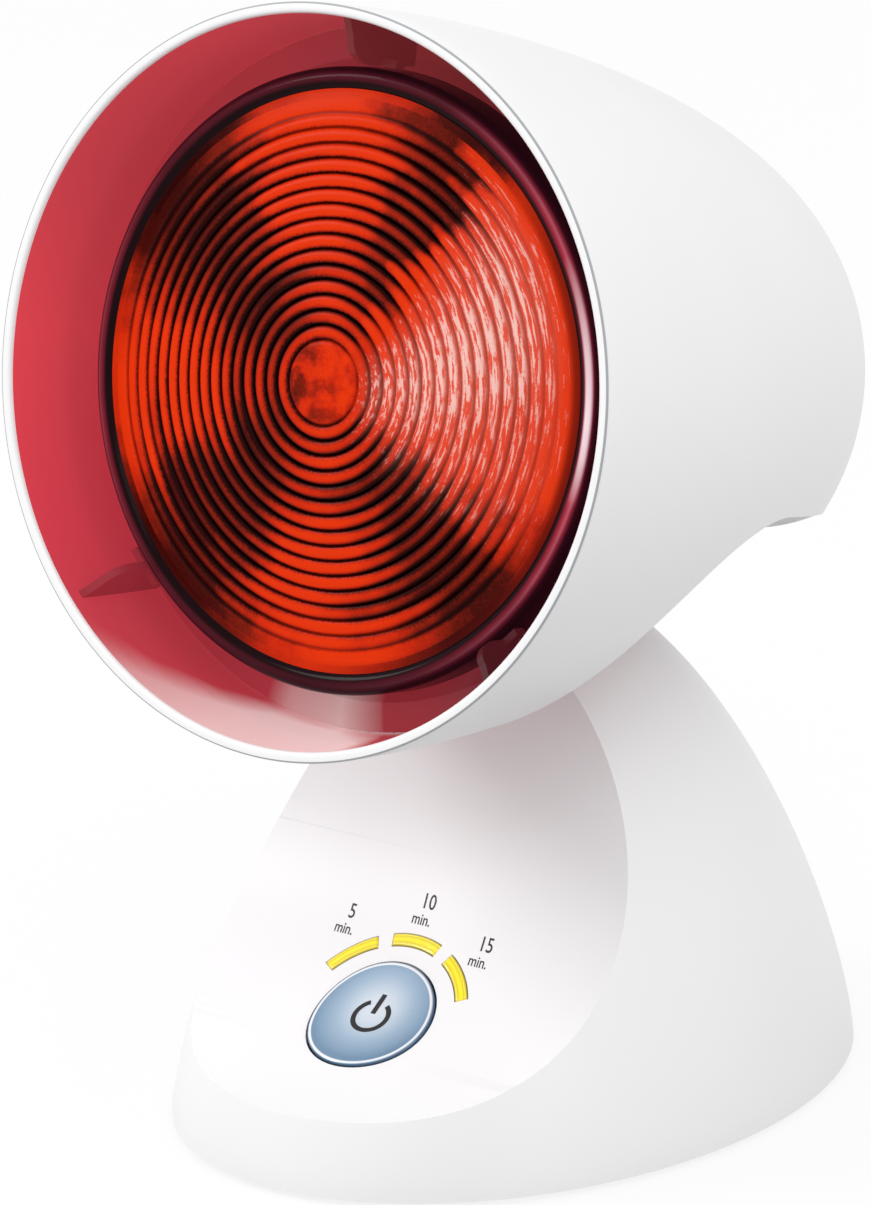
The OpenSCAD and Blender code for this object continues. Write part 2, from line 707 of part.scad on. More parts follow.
module bottom_plate() color("gainsboro") in_stand() difference() {
    union() {
        translate([0, 0, plate_z]) linear_extrude(plate_t) plate_outline(0.3);
        for (x = [-power_post_x, power_post_x], y = [-power_post_y, power_post_y])
            translate([x, power_y + y, plate_top]) cylinder(r = 3, h = power_z - plate_top, $fn = 32);
    }
    for (x = [-power_post_x, power_post_x], y = [-power_post_y, power_post_y])
        translate([x, power_y + y, power_z - 4]) cylinder(r = 1.1, h = 5, $fn = 24);
    for (x = [-boss_x, boss_x], y = [-boss_y, boss_y]) translate([x, y, 0]) {
        cylinder(r = screw_r + seat_gap, h = 9, $fn = 24);
        cylinder(r = screw_head_r + 0.4, h = plate_z + 1.3, $fn = 32);
    }
    foot_places() translate([0, 0, -1]) cylinder(r = foot_d / 2 + seat_gap, h = 1 + foot_sink);
    for (i = [0:6]) translate([0, i * 6 - 33, 0]) linear_extrude(9) vent_slot(24, 2.4);
}

// A slot with round ends along X
module vent_slot(len, w) {
    square([len, w], center = true);
    for (x = [-len / 2, len / 2]) translate([x, 0]) circle(r = w / 2, $fn = 24);
}

module bottom_screws() color("silver") in_stand() for (x = [-boss_x, boss_x], y = [-boss_y, boss_y])
    translate([x, y, plate_z + 1.3]) mirror([0, 0, 1])
        screw(plate_t + plate_screw_len, post_bore_r, 2.9, 1.3);

module foot_places() for (x = [-foot_x, foot_x], y = [-foot_y, foot_y])
    translate([x, y, plate_z]) children();

module foot(x, y) color("dimgray") in_stand() translate([x, y, -foot_stand]) {
    cylinder(r1 = foot_d / 2 - 0.8, r2 = foot_d / 2, h = 1);
    translate([0, 0, 1]) cylinder(r = foot_d / 2, h = foot_stand + plate_z + foot_sink - 1);
}

module foot_front_left() foot(-foot_x, -foot_y);
module foot_front_right() foot(foot_x, -foot_y);
module foot_rear_left() foot(-foot_x, foot_y);
module foot_rear_right() foot(foot_x, foot_y);

// ---- Timer panel ----

module timer_button() color("lightsteelblue") in_panel() difference() {
    union() {
        translate([0, 0, -flange_top]) linear_extrude(flange_top + button_over) button_outline(0);
        translate([0, 0, -flange_top - flange_t]) linear_extrude(flange_t)
            button_outline(button_flange);
        translate([0, 0, -plunger_top]) cylinder(r = 3, h = plunger_top - flange_top, $fn = 32);
    }
    translate([0, 0, scoop_r]) bar_x(scoop_r - button_rise, -far, far);
}

module switch_plunger() color("dimgray") in_panel()
    translate([0, 0, -board_depth + 1.6 + button_travel])
        cylinder(r = plunger_r - run_clear, h = board_depth - plunger_top - 1.6 - button_travel, $fn = 32);

module switch_body() color("black") in_panel() difference() {
    translate([-switch_w / 2, -switch_w / 2, -board_depth]) cube([switch_w, switch_w, switch_h]);
    translate([0, 0, -board_depth + 0.6]) cylinder(r = plunger_r, h = 9, $fn = 32);
}

module switch_dome() color("silver") in_panel()
    translate([0, 0, -board_depth + 0.6]) cylinder(r1 = 1.6, r2 = 0.8, h = 0.5, $fn = 32);

// A clear arc-shaped window that lies flush in the panel, with a collar behind the wall
module light_guide(i) color("gold") in_panel() difference() {
    union() {
        translate([0, 0, -guide_end]) linear_extrude(guide_end + 6)
            arc_band(light_r, light_w, light_span, i * light_step);
        difference() {
            translate([0, 0, -guide_end + 2.6]) linear_extrude(guide_end + 3.4)
                arc_band(light_r, light_w + 1.6, light_span + 2, i * light_step);
            translate([0, 0, scoop_r]) bar_x(scoop_r + stand_wall, -far, far);
        }
    }
    translate([0, 0, scoop_r]) bar_x(scoop_r - 0.25, -far, far);
}

module light_guide_5() light_guide(-1);
module light_guide_10() light_guide(0);
module light_guide_15() light_guide(1);

module led(i) color("yellow") in_panel() rotate([0, 0, -i * light_step])
    translate([0, light_r, -board_depth]) {
        cylinder(r = led_r + 0.3, h = 0.8, $fn = 32);
        cylinder(r = led_r, h = 2.6, $fn = 32);
        translate([0, 0, 2.6]) cylinder(r1 = led_r, r2 = 0.7, h = 0.9, $fn = 32);
    }

module led_5() led(-1);
module led_10() led(0);
module led_15() led(1);

module timer_board() color("darkgreen") in_panel() difference() {
    translate([-board_w / 2, board_low, -board_depth - board_t])
        cube([board_w, board_high - board_low, board_t]);
    for (x = [-board_post_x, board_post_x], y = [board_post_low, board_post_high])
        translate([x, y, -board_depth - 3]) cylinder(r = 1.4, h = 5, $fn = 24);
}

module timer_board_screws() color("silver") in_panel()
    for (x = [-board_post_x, board_post_x], y = [board_post_low, board_post_high])
        translate([x, y, -board_depth - board_t]) mirror([0, 0, 1])
            screw(board_t + board_screw_len, 1.1, 2.2, 1.4);

// ---- Power board ----

module power_board() color("darkgreen") in_stand() difference() {
    translate([-power_w / 2, power_y - power_d / 2, power_z]) cube([power_w, power_d, board_t]);
    for (x = [-power_post_x, power_post_x], y = [-power_post_y, power_post_y])
        translate([x, power_y + y, power_z - 1]) cylinder(r = 1.4, h = 5, $fn = 24);
}

module power_board_screws() color("silver") in_stand()
    for (x = [-power_post_x, power_post_x], y = [-power_post_y, power_post_y])
        translate([x, power_y + y, power_z + board_t]) screw(board_t + power_screw_len, 1.1, 2.2, 1.4);

module on_power_board(x, y) in_stand() translate([x, power_y + y, power_z + board_t]) children();

module relay() color("royalblue") on_power_board(-relay_l - 1, -8) cube([relay_l, relay_w, relay_w]);

module supply_capacitor() color("gold") on_power_board(4, -8)
    cube([capacitor_l, capacitor_w, capacitor_h]);

module terminal_block() color("green") on_power_board(-12, 10) difference() {
    cube([3 * terminal_pitch, terminal_w, terminal_h]);
    for (x = [0.5, 1.5, 2.5] * terminal_pitch) {
        translate([x, terminal_w / 2, terminal_h - 5]) cylinder(r = 2, h = 6, $fn = 24);
        translate([x - 1.5, -1, 1.5]) cube([3, 4, 4]);
    }
}

module fuse() color("lightgray") on_power_board(2, 2) {
    for (x = [0, fuse_l - 4]) translate([x, 0, 0]) cube([4, 2.5 * fuse_r, 2.5 * fuse_r + 0.2]);
    translate([2, 1.25 * fuse_r, 1.5 * fuse_r]) rotate([0, 90, 0])
        cylinder(r = fuse_r, h = fuse_l - 4, $fn = 32);
}

module cord_gland() color("dimgray") in_stand() gland_place() difference() {
    union() {
        cylinder(r = gland_flange_r, h = gland_flange_t, $fn = 48);
        translate([0, 0, -6]) cylinder(r = gland_d / 2, h = 6.5, $fn = 48);
    }
    translate([0, 0, -10]) cylinder(r = cord_d / 2, h = 20, $fn = 48);
}

hood();
bulb_shroud();
shroud_screws();
bulb_lens();
bulb_reflector();
bulb_filament();
bulb_cap();
bulb_insulator();
bulb_tip();
lampholder();
lampholder_sleeve();
lampholder_contact();
lampholder_screws();
lamp_bracket();
bracket_screws();
neck_left();
neck_right();
neck_screws();
hinge_bush_left();
hinge_bush_right();
hinge_axle();
hinge_nut();
friction_washer_left();
friction_washer_right();
detent_spring();
detent_screw();
stand_housing();
bottom_plate();
bottom_screws();
foot_front_left();
foot_front_right();
foot_rear_left();
foot_rear_right();
timer_button();
switch_plunger();
switch_body();
switch_dome();
light_guide_5();
light_guide_10();
light_guide_15();
led_5();
led_10();
led_15();
timer_board();
timer_board_screws();
power_board();
power_board_screws();
relay();
supply_capacitor();
terminal_block();
fuse();
cord_gland();
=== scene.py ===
"""The looks of an infrared heat lamp: a ringed red bulb in a white domed hood, on a white domed
stand with a hollow timer panel. Blender works in metres; sizes here are millimetres times MM."""
import json
import math
import bpy
from mathutils import Matrix, Vector


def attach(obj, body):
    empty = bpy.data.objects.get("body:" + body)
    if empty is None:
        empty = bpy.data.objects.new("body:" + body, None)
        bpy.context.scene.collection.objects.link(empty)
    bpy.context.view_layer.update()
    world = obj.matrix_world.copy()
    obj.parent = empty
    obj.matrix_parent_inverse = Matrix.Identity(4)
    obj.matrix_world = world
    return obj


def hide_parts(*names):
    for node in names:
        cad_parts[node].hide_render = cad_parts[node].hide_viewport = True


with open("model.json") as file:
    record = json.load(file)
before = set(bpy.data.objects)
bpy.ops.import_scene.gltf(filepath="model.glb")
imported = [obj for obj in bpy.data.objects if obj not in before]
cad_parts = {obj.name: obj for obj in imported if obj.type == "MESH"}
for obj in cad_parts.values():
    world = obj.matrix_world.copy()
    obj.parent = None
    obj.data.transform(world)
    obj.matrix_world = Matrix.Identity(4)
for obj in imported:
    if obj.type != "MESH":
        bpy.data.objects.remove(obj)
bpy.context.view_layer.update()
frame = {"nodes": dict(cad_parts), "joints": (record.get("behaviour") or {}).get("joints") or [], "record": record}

MM = 0.001

# ---------------------------------------------------------------- sizes of the real lamp
HINGE = Vector(next(j for j in frame["joints"] if j["name"] == "head_tilt")["pos_m"])
HEAD_TILT = math.radians(10.5)
AXIS_ABOVE = 67.5          # hinge axis to the hood's axis
MOUTH_AHEAD = 86.7         # hinge axis forward to the hood's mouth
HOOD_R = 72.5
HOOD_LEN = 154.0
HOOD_WALL = 2.2
HOOD_SHOULDER = 1.6
HOOD_BLUNTNESS = 3.1
ARCH_R = 47.7
ARCH_REAR_R = 30.0
ARCH_REAR = 36.0
ARCH_DROP = 3.0            # the arch's rear corner tops out this far below its front
RIB_ANGLE = math.radians(135)
RIB_T = 1.6
BULB_R = 60.5
BULB_INSET = 8.5
LENS_CROWN = 6.0
RIM_BAND = 3.6
LENS_R = BULB_R - RIM_BAND
LENS_EDGE = BULB_INSET + LENS_CROWN
RIM_END = LENS_EDGE + 8.0
NECK_END = 105.5
BULB_NECK_R = 17.0
CAP_START = 109.5
CAP_R = 13.2
GLASS = 2.6
LENS_EYE = 8.2             # mottled middle of the lens, inside the first ring
RING_PITCH = 2.9
RINGS = 15
SHROUD_FRONT = 26.4

STAND_HALF_W = 61.0
STAND_HALF_D = 84.0
STAND_DEPTH_RATIO = STAND_HALF_D / STAND_HALF_W
DOME_H = 105.0
DOME_FOOT = 1.35
DOME_BLUNT = 1.79
DOME_OPEN_H = 95.0
STAND_WALL = 2.5
FOOT_STAND = 1.2
SCOOP_R = 73.2
SCOOP_BACK = 13.8
SCOOP_LOW = 14.3
BUTTON_AT = math.radians(59)
BUTTON_W = 26.4
BUTTON_H = 27.4
BUTTON_RISE = 0.6
LIGHT_R = 18.9
LIGHT_W = 2.8
LIGHT_SPAN = math.radians(34)
LIGHT_STEP = math.radians(44)
MOVE_GAP = 0.4

# ---------------------------------------------------------------- frames of the hood, stand and panel
STAND = Matrix.Translation((0, HINGE.y, FOOT_STAND * MM))
HEAD = (Matrix.Translation(HINGE) @ Matrix.Rotation(math.pi / 2 - HEAD_TILT, 4, "X")
        @ Matrix.Translation((0, AXIS_ABOVE * MM, MOUTH_AHEAD * MM)))
AT_HINGE = Matrix.Translation(HINGE) @ Matrix.Rotation(math.pi / 2 - HEAD_TILT, 4, "X")
SCOOP = STAND @ Matrix.Translation((0, -(SCOOP_R + SCOOP_BACK) * MM, (SCOOP_R + SCOOP_LOW) * MM))
PANEL = (SCOOP @ Matrix.Rotation(math.pi / 2 - BUTTON_AT, 4, "X")
         @ Matrix.Translation((0, 0, -SCOOP_R * MM)))

# ---------------------------------------------------------------- modelling by hand, one op at a time


def select_only(piece):
    bpy.ops.object.select_all(action="DESELECT")
    piece.select_set(True)
    bpy.context.view_layer.objects.active = piece


def named(piece, name):
    piece.name = name
    piece.data.name = name
    return piece


def draw_line(name, points):
    """A chain of edges through the points, drawn by pulling out one point after another."""
    bpy.ops.object.select_all(action="DESELECT")
    bpy.ops.mesh.primitive_plane_add(size=MM, location=(0, 0, 0))
    line = named(bpy.context.object, name)
    bpy.ops.object.mode_set(mode="EDIT")
    bpy.ops.mesh.merge(type="CENTER")
    here = Vector((0, 0, 0))
    bpy.ops.transform.translate(value=Vector(points[0]) * MM - here)
    here = Vector(points[0]) * MM
    for point in points[1:]:
        there = Vector(point) * MM
        bpy.ops.mesh.extrude_region_move(TRANSFORM_OT_translate={"value": there - here})
        here = there
    bpy.ops.mesh.select_all(action="SELECT")
    bpy.ops.object.mode_set(mode="OBJECT")
    return line


def lathe(name, points, segments=192):
    """A round form about Z from [radius, height] points, in millimetres."""
    form = draw_line(name, [(r, 0, z) for r, z in points])
    bpy.ops.object.mode_set(mode="EDIT")
    bpy.ops.mesh.select_all(action="SELECT")
    bpy.ops.mesh.spin(steps=segments, angle=2 * math.pi, center=(0, 0, 0), axis=(0, 0, 1))
    bpy.ops.mesh.select_all(action="SELECT")
    bpy.ops.mesh.remove_doubles(threshold=0.002 * MM)
    bpy.ops.mesh.normals_make_consistent(inside=False)
    bpy.ops.object.mode_set(mode="OBJECT")
    return form


def slab(name, outline, depth):
    """A flat outline in the XY plane, pulled up along Z by depth."""
    plate = draw_line(name, [(x, y, 0) for x, y in outline])
    bpy.ops.object.mode_set(mode="EDIT")
    bpy.ops.mesh.select_all(action="SELECT")
    bpy.ops.mesh.edge_face_add()
    bpy.ops.mesh.extrude_region_move(TRANSFORM_OT_translate={"value": (0, 0, depth * MM)})
    bpy.ops.mesh.select_all(action="SELECT")
    bpy.ops.mesh.normals_make_consistent(inside=False)
    bpy.ops.object.mode_set(mode="OBJECT")
    return plate


def place(piece, matrix):
    """Moves a piece into its frame and keeps that place in its mesh."""
    piece.matrix_world = matrix @ piece.matrix_world
    select_only(piece)
    bpy.ops.object.transform_apply(location=True, rotation=True, scale=True)
    return piece


def apply_modifier(piece, kind, **settings):
    select_only(piece)
    modifier = piece.modifiers.new(kind.lower(), kind)
    for key, value in settings.items():
        setattr(modifier, key, value)
    bpy.ops.object.modifier_apply(modifier=modifier.name)
    return piece


def carve(piece, cutter, operation="DIFFERENCE"):
    apply_modifier(piece, "BOOLEAN", operation=operation, object=cutter, solver="EXACT")
    bpy.data.objects.remove(cutter)
    return piece


def copy_of(piece, name):
    twin = piece.copy()
    twin.data = piece.data.copy()
    bpy.context.scene.collection.objects.link(twin)
    return named(twin, name)


def join(pieces, name):
    bpy.ops.object.select_all(action="DESELECT")
    for piece in pieces:
        piece.select_set(True)
    bpy.context.view_layer.objects.active = pieces[0]
    bpy.ops.object.join()
    return named(bpy.context.object, name)


def soften_edges(piece, width, segments=3, angle=35):
    return apply_modifier(piece, "BEVEL", width=width * MM, segments=segments, limit_method="ANGLE",
                          angle_limit=math.radians(angle), use_clamp_overlap=True)


def smooth(piece, angle=40):
    select_only(piece)
    bpy.ops.object.shade_smooth_by_angle(angle=math.radians(angle))
    return apply_modifier(piece, "WEIGHTED_NORMAL", keep_sharp=True, weight=50)


def finish_piece(piece, body, material, slot, *nodes):
    piece.data.materials.clear()
    piece.data.materials.append(material)
    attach(piece, body)
    if nodes:
        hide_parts(*nodes)
    return piece


# ---------------------------------------------------------------- side lines of the two domes


def steps(start, end, count):
    return [start + (end - start) * i / count for i in range(count + 1)]


def hood_line(s, radius, length):
    return radius * max(0, 1 - (s / length) ** HOOD_SHOULDER) ** (1 / HOOD_BLUNTNESS)


def stand_line(z):
    return STAND_HALF_W * max(0, 1 - (z / DOME_H) ** DOME_FOOT) ** (1 / DOME_BLUNT)


def bowl_line(s):
    t = (s - RIM_END) / (NECK_END - RIM_END)
    return BULB_NECK_R + (BULB_R - BULB_NECK_R) * max(0, 1 - t) ** 1.1


def lens_line(radius):
    return LENS_CROWN * (1 - (radius / LENS_R) ** 2)


# ---------------------------------------------------------------- materials


def linear(hex_colour):
    """An sRGB hex colour as the linear values that shaders take."""
    parts = [int(hex_colour[i:i + 2], 16) / 255 for i in (1, 3, 5)]
    return [c / 12.92 if c <= 0.04045 else ((c + 0.055) / 1.055) ** 2.4 for c in parts] + [1]


def add(tree, kind, *inputs, sockets=None, stops=(), **settings):
    """Adds a shader node. Settings are its own properties, stops a ramp's colours. Inputs go to its
    sockets in order and sockets by name, each a number, an sRGB hex colour, or what is linked."""
    node = tree.nodes.new("ShaderNode" + kind)
    for key, value in settings.items():
        setattr(node, key, value)
    for index, (position, colour) in enumerate(stops):
        elements = node.color_ramp.elements
        element = elements[index] if index < len(elements) else elements.new(position)
        element.position = position
        element.color = linear(colour) if isinstance(colour, str) else (colour, colour, colour, 1)
    in_order = list(zip([socket for socket in node.inputs if socket.enabled], inputs))
    by_name = [(node.inputs[name], value) for name, value in (sockets or {}).items()]
    for socket, value in in_order + by_name:
        if isinstance(value, bpy.types.Node):
            value = next(output for output in value.outputs if output.enabled)
        if isinstance(value, bpy.types.NodeSocket):
            tree.links.new(value, socket)
        else:
            socket.default_value = linear(value) if isinstance(value, str) else value
    return node


def start_material(name):
    material = bpy.data.materials.new(name)
    material.use_nodes = True
    tree = material.node_tree
    tree.nodes.clear()
    place_at = add(tree, "TexCoord").outputs["Object"]
    return material, tree, place_at


def end_material(tree, sockets):
    add(tree, "OutputMaterial", add(tree, "BsdfPrincipled", sockets=sockets))


def grain(tree, place_at, size_mm, height_mm):
    """Fine unevenness of a surface: grains of size_mm across and height_mm high."""
    noise = add(tree, "TexNoise", place_at, 1 / (size_mm * MM), 2)
    return add(tree, "Bump", sockets={"Distance": height_mm * MM, "Strength": 1.0, "Height": noise})


def in_frame(tree, place_at, matrix):
    """The place on a surface as seen in the hood's or panel's own frame, in metres."""
    return add(tree, "Mapping", place_at, matrix.to_translation(), matrix.to_euler(), vector_type="TEXTURE")


def polar(tree, local):
    """The radius about the frame's own axis, the angle and share of a turn round it, and x, y, z."""
    at = add(tree, "SeparateXYZ", local).outputs
    squares = add(tree, "Math", add(tree, "Math", at[0], at[0], operation="MULTIPLY"),
                  add(tree, "Math", at[1], at[1], operation="MULTIPLY"), operation="ADD")
    radius = add(tree, "Math", squares, operation="SQRT")
    angle = add(tree, "Math", at[0], at[1], operation="ARCTAN2")
    turn = add(tree, "Math", add(tree, "Math", angle, 2 * math.pi, operation="DIVIDE"), 0.5,
               operation="ADD")
    return radius, angle, turn, at


def plain_moulded(name, colour, roughness, grain_mm, height_mm, vary=0.03, **shader):
    """A moulded or cast surface: one colour with a faint drift, and a grain of its own size."""
    material, tree, place_at = start_material(name)
    drift = add(tree, "TexNoise", place_at, 1 / (30 * MM), 1.0)
    dark = [c * (1 - vary) for c in linear(colour)[:3]] + [1]
    shade = add(tree, "Mix", drift, linear(colour), dark, data_type="RGBA")
    end_material(tree, {"Roughness": roughness, **shader, "Base Color": shade,
                        "Normal": grain(tree, place_at, grain_mm, height_mm)})
    return material


def white_abs():
    """ABS, injection moulded in a polished tool: bright white with a soft, even gloss, a fine grain
    and the slightest cool drift, so that it greys gently where it turns from the light."""
    material, tree, place_at = start_material("white_abs_moulded")
    drift = add(tree, "TexNoise", place_at, 1 / (30 * MM), 1.0)
    white = add(tree, "Mix", drift, "#F5F5F5", "#F2F2F4", data_type="RGBA")
    end_material(tree, {"Roughness": 0.34, "IOR": 1.5, "Specular IOR Level": 0.3, "Base Color": white,
                        "Normal": grain(tree, place_at, 0.9, 0.004)})
    return material


def red_lit_abs(name, level):
    """The hood's inner wall: white plastic that the red bulb floods with its own colour. It is deep
    pink at the left, brown-red in the shade at the top right, and below, near the mouth, the white
    of the room shows in it in long soft streaks. Level sets how much of the glow a piece catches."""
    material, tree, place_at = start_material(name)
    local = in_frame(tree, place_at, HEAD)
    _, angle, turn, at = polar(tree, local)
    glow = add(tree, "ValToRGB", turn, stops=[(0.0, "#BC3A46"), (0.11, "#C6404D"), (0.165, "#D4404F"),
                                              (0.25, "#DE4752"), (0.33, "#CC444F"), (0.42, "#CA444E"),
                                              (0.47, "#B8404A"), (0.50, "#A23C40"), (0.545, "#7A322E"),
                                              (0.58, "#602C2C"), (0.75, "#541A24"), (0.90, "#6E2C34"),
                                              (0.925, "#A0404A"), (0.95, "#B43A44"), (1.0, "#BC3A46")])
    # Painted shade: the wall darkens towards a deeper red further into the hood.
    depth = add(tree, "Math", add(tree, "Math", at[2], -1, operation="MULTIPLY"), SHROUD_FRONT * MM,
                operation="DIVIDE")
    deeper = add(tree, "Mix", add(tree, "Math", depth, 0.25, use_clamp=True, operation="MULTIPLY"),
                 glow, "#8E2430", data_type="RGBA")
    long = add(tree, "CombineXYZ", add(tree, "Math", angle, 1.6, operation="MULTIPLY"),
               add(tree, "Math", at[2], 6 * MM, operation="DIVIDE"))
    streaks = add(tree, "TexNoise", long, 1.0, 2.0)
    unevenness = add(tree, "Math", add(tree, "Math", streaks, 0.5, operation="SUBTRACT"), 0.20,
                     operation="MULTIPLY")
    white_reach = add(tree, "ValToRGB", turn, stops=[(0.0, 1.0), (0.03, 0.92), (0.055, 0.62),
                                                     (0.083, 0.33), (0.11, 0.12), (0.14, 0.0),
                                                     (0.93, 0.0), (0.945, 0.10), (0.96, 0.34),
                                                     (0.975, 0.78), (1.0, 1.0)])
    margin = add(tree, "Math", add(tree, "Math", white_reach, 1.35, operation="MULTIPLY"), depth,
                 operation="SUBTRACT")
    reached = add(tree, "Math", add(tree, "Math", margin, unevenness, operation="ADD"), 2.4,
                  use_clamp=True, operation="MULTIPLY")
    amount = add(tree, "ValToRGB", turn, stops=[(0.0, 1.0), (0.03, 0.93), (0.056, 0.74), (0.083, 0.50),
                                                (0.108, 0.10), (0.13, 0.0), (0.925, 0.0), (0.94, 0.85),
                                                (0.955, 1.0), (1.0, 1.0)])
    # Painted reflection: the room's white, laid over the glow near the mouth in streaks.
    colour = add(tree, "Mix", add(tree, "Math", reached, amount, operation="MULTIPLY"), deeper,
                 "#E9C4C4", data_type="RGBA")
    shaded = add(tree, "Mix", 1.0, colour, (level, level, level, 1), data_type="RGBA",
                 blend_type="MULTIPLY")
    dimmed = add(tree, "Mix", 1.0, shaded, (0.5, 0.5, 0.5, 1), data_type="RGBA", blend_type="MULTIPLY")
    # The bulb's glow on the wall is painted: its colour goes in as emission as well as base colour.
    end_material(tree, {"Roughness": 0.35, "IOR": 1.5, "Specular IOR Level": 0.15,
                        "Emission Strength": 0.62, "Base Color": dimmed, "Emission Color": shaded,
                        "Normal": grain(tree, place_at, 0.9, 0.004)})
    return material


def ringed_lens():
    """Red flashed glass pressed with rings. The light that the mirror behind it throws is painted into
    its colour as four bright lobes, at the top, right, bottom and left, between soft dark wedges of
    painted shade. Each ring ends in a groove with a painted near-black line of shade, and on the
    right the crests break the room's light into pale strokes, which are painted highlights."""
    material, tree, place_at = start_material("red_pressed_lens")
    local = in_frame(tree, place_at, HEAD)
    radius, angle, turn, at = polar(tree, local)
    reach = add(tree, "Math", radius, LENS_R * MM, operation="DIVIDE")
    wave = add(tree, "TexNoise", local, 1 / (9 * MM), 3.0)
    pitch = add(tree, "Math", add(tree, "Math", radius, LENS_EYE * MM, operation="SUBTRACT"),
                RING_PITCH * MM, operation="DIVIDE")
    index = add(tree, "Math", pitch, operation="FLOOR")
    chance = add(tree, "TexWhiteNoise", index, noise_dimensions="1D")
    step = add(tree, "Math", add(tree, "Math", chance, 0.5, operation="SUBTRACT"), 0.035,
               operation="MULTIPLY")
    sway = add(tree, "Math", add(tree, "Math", wave, 0.5, operation="SUBTRACT"), 0.07,
               operation="MULTIPLY")
    drift = add(tree, "Math", step, sway, operation="ADD")
    swayed = add(tree, "Math", add(tree, "Math", turn, drift, operation="ADD"), 1.0, operation="ADD")
    # Painted light: the lobes that the mirror throws, with dark wedges of painted shade between them.
    lobes = add(tree, "ValToRGB", add(tree, "Math", swayed, operation="FRACT"),
                stops=[(0.0, 0.95), (0.03, 0.78), (0.06, 0.36), (0.085, 0.06), (0.14, 0.04),
                       (0.17, 0.38), (0.20, 0.82), (0.24, 0.95), (0.27, 0.74), (0.30, 0.34),
                       (0.325, 0.06), (0.365, 0.0), (0.40, 0.30), (0.43, 0.78), (0.46, 1.0),
                       (0.50, 1.0), (0.525, 0.66), (0.545, 0.26), (0.585, 0.12), (0.605, 0.82),
                       (0.62, 1.0), (0.80, 1.0), (0.83, 0.64), (0.86, 0.14), (0.89, 0.08), (0.92, 0.42),
                       (0.95, 0.66), (0.975, 0.92), (1.0, 0.95)])
    right = add(tree, "ValToRGB", turn, stops=[(0.0, 0.0), (0.59, 0.0), (0.63, 1.0), (0.81, 1.0),
                                               (0.85, 0.0), (1.0, 0.0)])
    waist = add(tree, "ValToRGB", reach, stops=[(0.0, 1.0), (0.20, 0.95), (0.30, 0.66), (0.42, 0.64),
                                                (0.60, 0.98), (1.0, 1.0)])
    open_lobes = add(tree, "Math", lobes, add(tree, "Mix", right, waist, "#FFFFFF", data_type="RGBA"),
                     operation="MULTIPLY")
    core = add(tree, "ValToRGB", reach, stops=[(0.0, 1.0), (0.20, 0.85), (0.30, 0.45), (0.46, 0.0),
                                               (1.0, 0.0)])
    flow = add(tree, "Mix", core, open_lobes, (0.66, 0.66, 0.66, 1), data_type="RGBA")
    blotch = add(tree, "TexNoise", local, 1 / (4 * MM), 3.0)
    eye = add(tree, "ValToRGB", reach, stops=[(0.0, 1.0), (0.13, 1.0), (0.16, 0.0), (1.0, 0.0)])
    # Painted light: the eye is lighter to the right.
    tilt = add(tree, "Math", at[0], 26.0, operation="MULTIPLY")
    eye_light = add(tree, "Math", tilt, add(tree, "ValToRGB", blotch,
                                            stops=[(0.0, 0.36), (0.40, 0.52), (0.60, 0.92),
                                                   (1.0, 1.0)]), operation="ADD")
    # Painted shade: a crescent over the inner rings on the left.
    left = add(tree, "ValToRGB", turn, stops=[(0.0, 0.3), (0.08, 0.6), (0.14, 1.0), (0.42, 1.0),
                                              (0.48, 0.3), (0.56, 0.0), (0.92, 0.0), (1.0, 0.3)])
    shaded = add(tree, "ValToRGB", reach, stops=[(0.0, 0.0), (0.14, 0.0), (0.17, 0.5), (0.20, 0.85),
                                                 (0.30, 0.9), (0.44, 0.0), (1.0, 0.0)])
    shade_crescent = add(tree, "Math", add(tree, "Math", left, shaded, operation="MULTIPLY"), 0.30,
                   operation="MULTIPLY")
    uneven = add(tree, "Math", add(tree, "Math", chance, 0.6, operation="SUBTRACT"), 0.26,
                 operation="MULTIPLY")
    ringed_light = add(tree, "Math", add(tree, "Math", flow, uneven, operation="ADD"), shade_crescent,
                       operation="SUBTRACT")
    light = add(tree, "Mix", eye, ringed_light, eye_light, data_type="RGBA")
    fine = add(tree, "TexNoise", local, 1 / (0.5 * MM), 2.0)
    grit = add(tree, "Math", fine, 0.5, operation="SUBTRACT")
    ragged = add(tree, "Math", pitch, add(tree, "Math", grit, 0.12, operation="MULTIPLY"), operation="ADD")
    ring = add(tree, "Math", ragged, operation="FRACT")
    ringed = add(tree, "ValToRGB", reach, stops=[(0.0, 0.0), (0.135, 0.0), (0.15, 1.0), (0.70, 1.0),
                                                 (0.82, 0.8), (0.905, 0.5), (0.93, 0.0), (1.0, 0.0)])
    shallow = add(tree, "Math", 1.0, add(tree, "Math", right, 0.5, operation="MULTIPLY"),
                  operation="SUBTRACT")
    ring_shade_strength = add(tree, "Math", ringed, shallow, operation="MULTIPLY")
    # Painted light and shade across each ring's roll, weaker on the right.
    roll = add(tree, "ValToRGB", ring, stops=[(0.0, 0.0), (0.10, 0.05), (0.28, 0.72), (0.48, 1.0),
                                              (0.70, 0.85), (0.90, 0.1), (1.0, 0.0)])
    roll_shading = add(tree, "Math", add(tree, "Math", roll, 0.58, operation="SUBTRACT"), 0.8,
                 operation="MULTIPLY")
    rolled = add(tree, "Math", light, add(tree, "Math", roll_shading, ring_shade_strength, operation="MULTIPLY"),
                 operation="ADD")
    gritty = add(tree, "Math", rolled, add(tree, "Math", grit, 0.26, operation="MULTIPLY"),
                 use_clamp=True, operation="ADD")
    glow = add(tree, "ValToRGB", gritty, stops=[(0.0, "#2A0605"), (0.20, "#4C0F09"), (0.45, "#92200E"),
                                                (0.72, "#D22B0E"), (1.0, "#EC380C")])
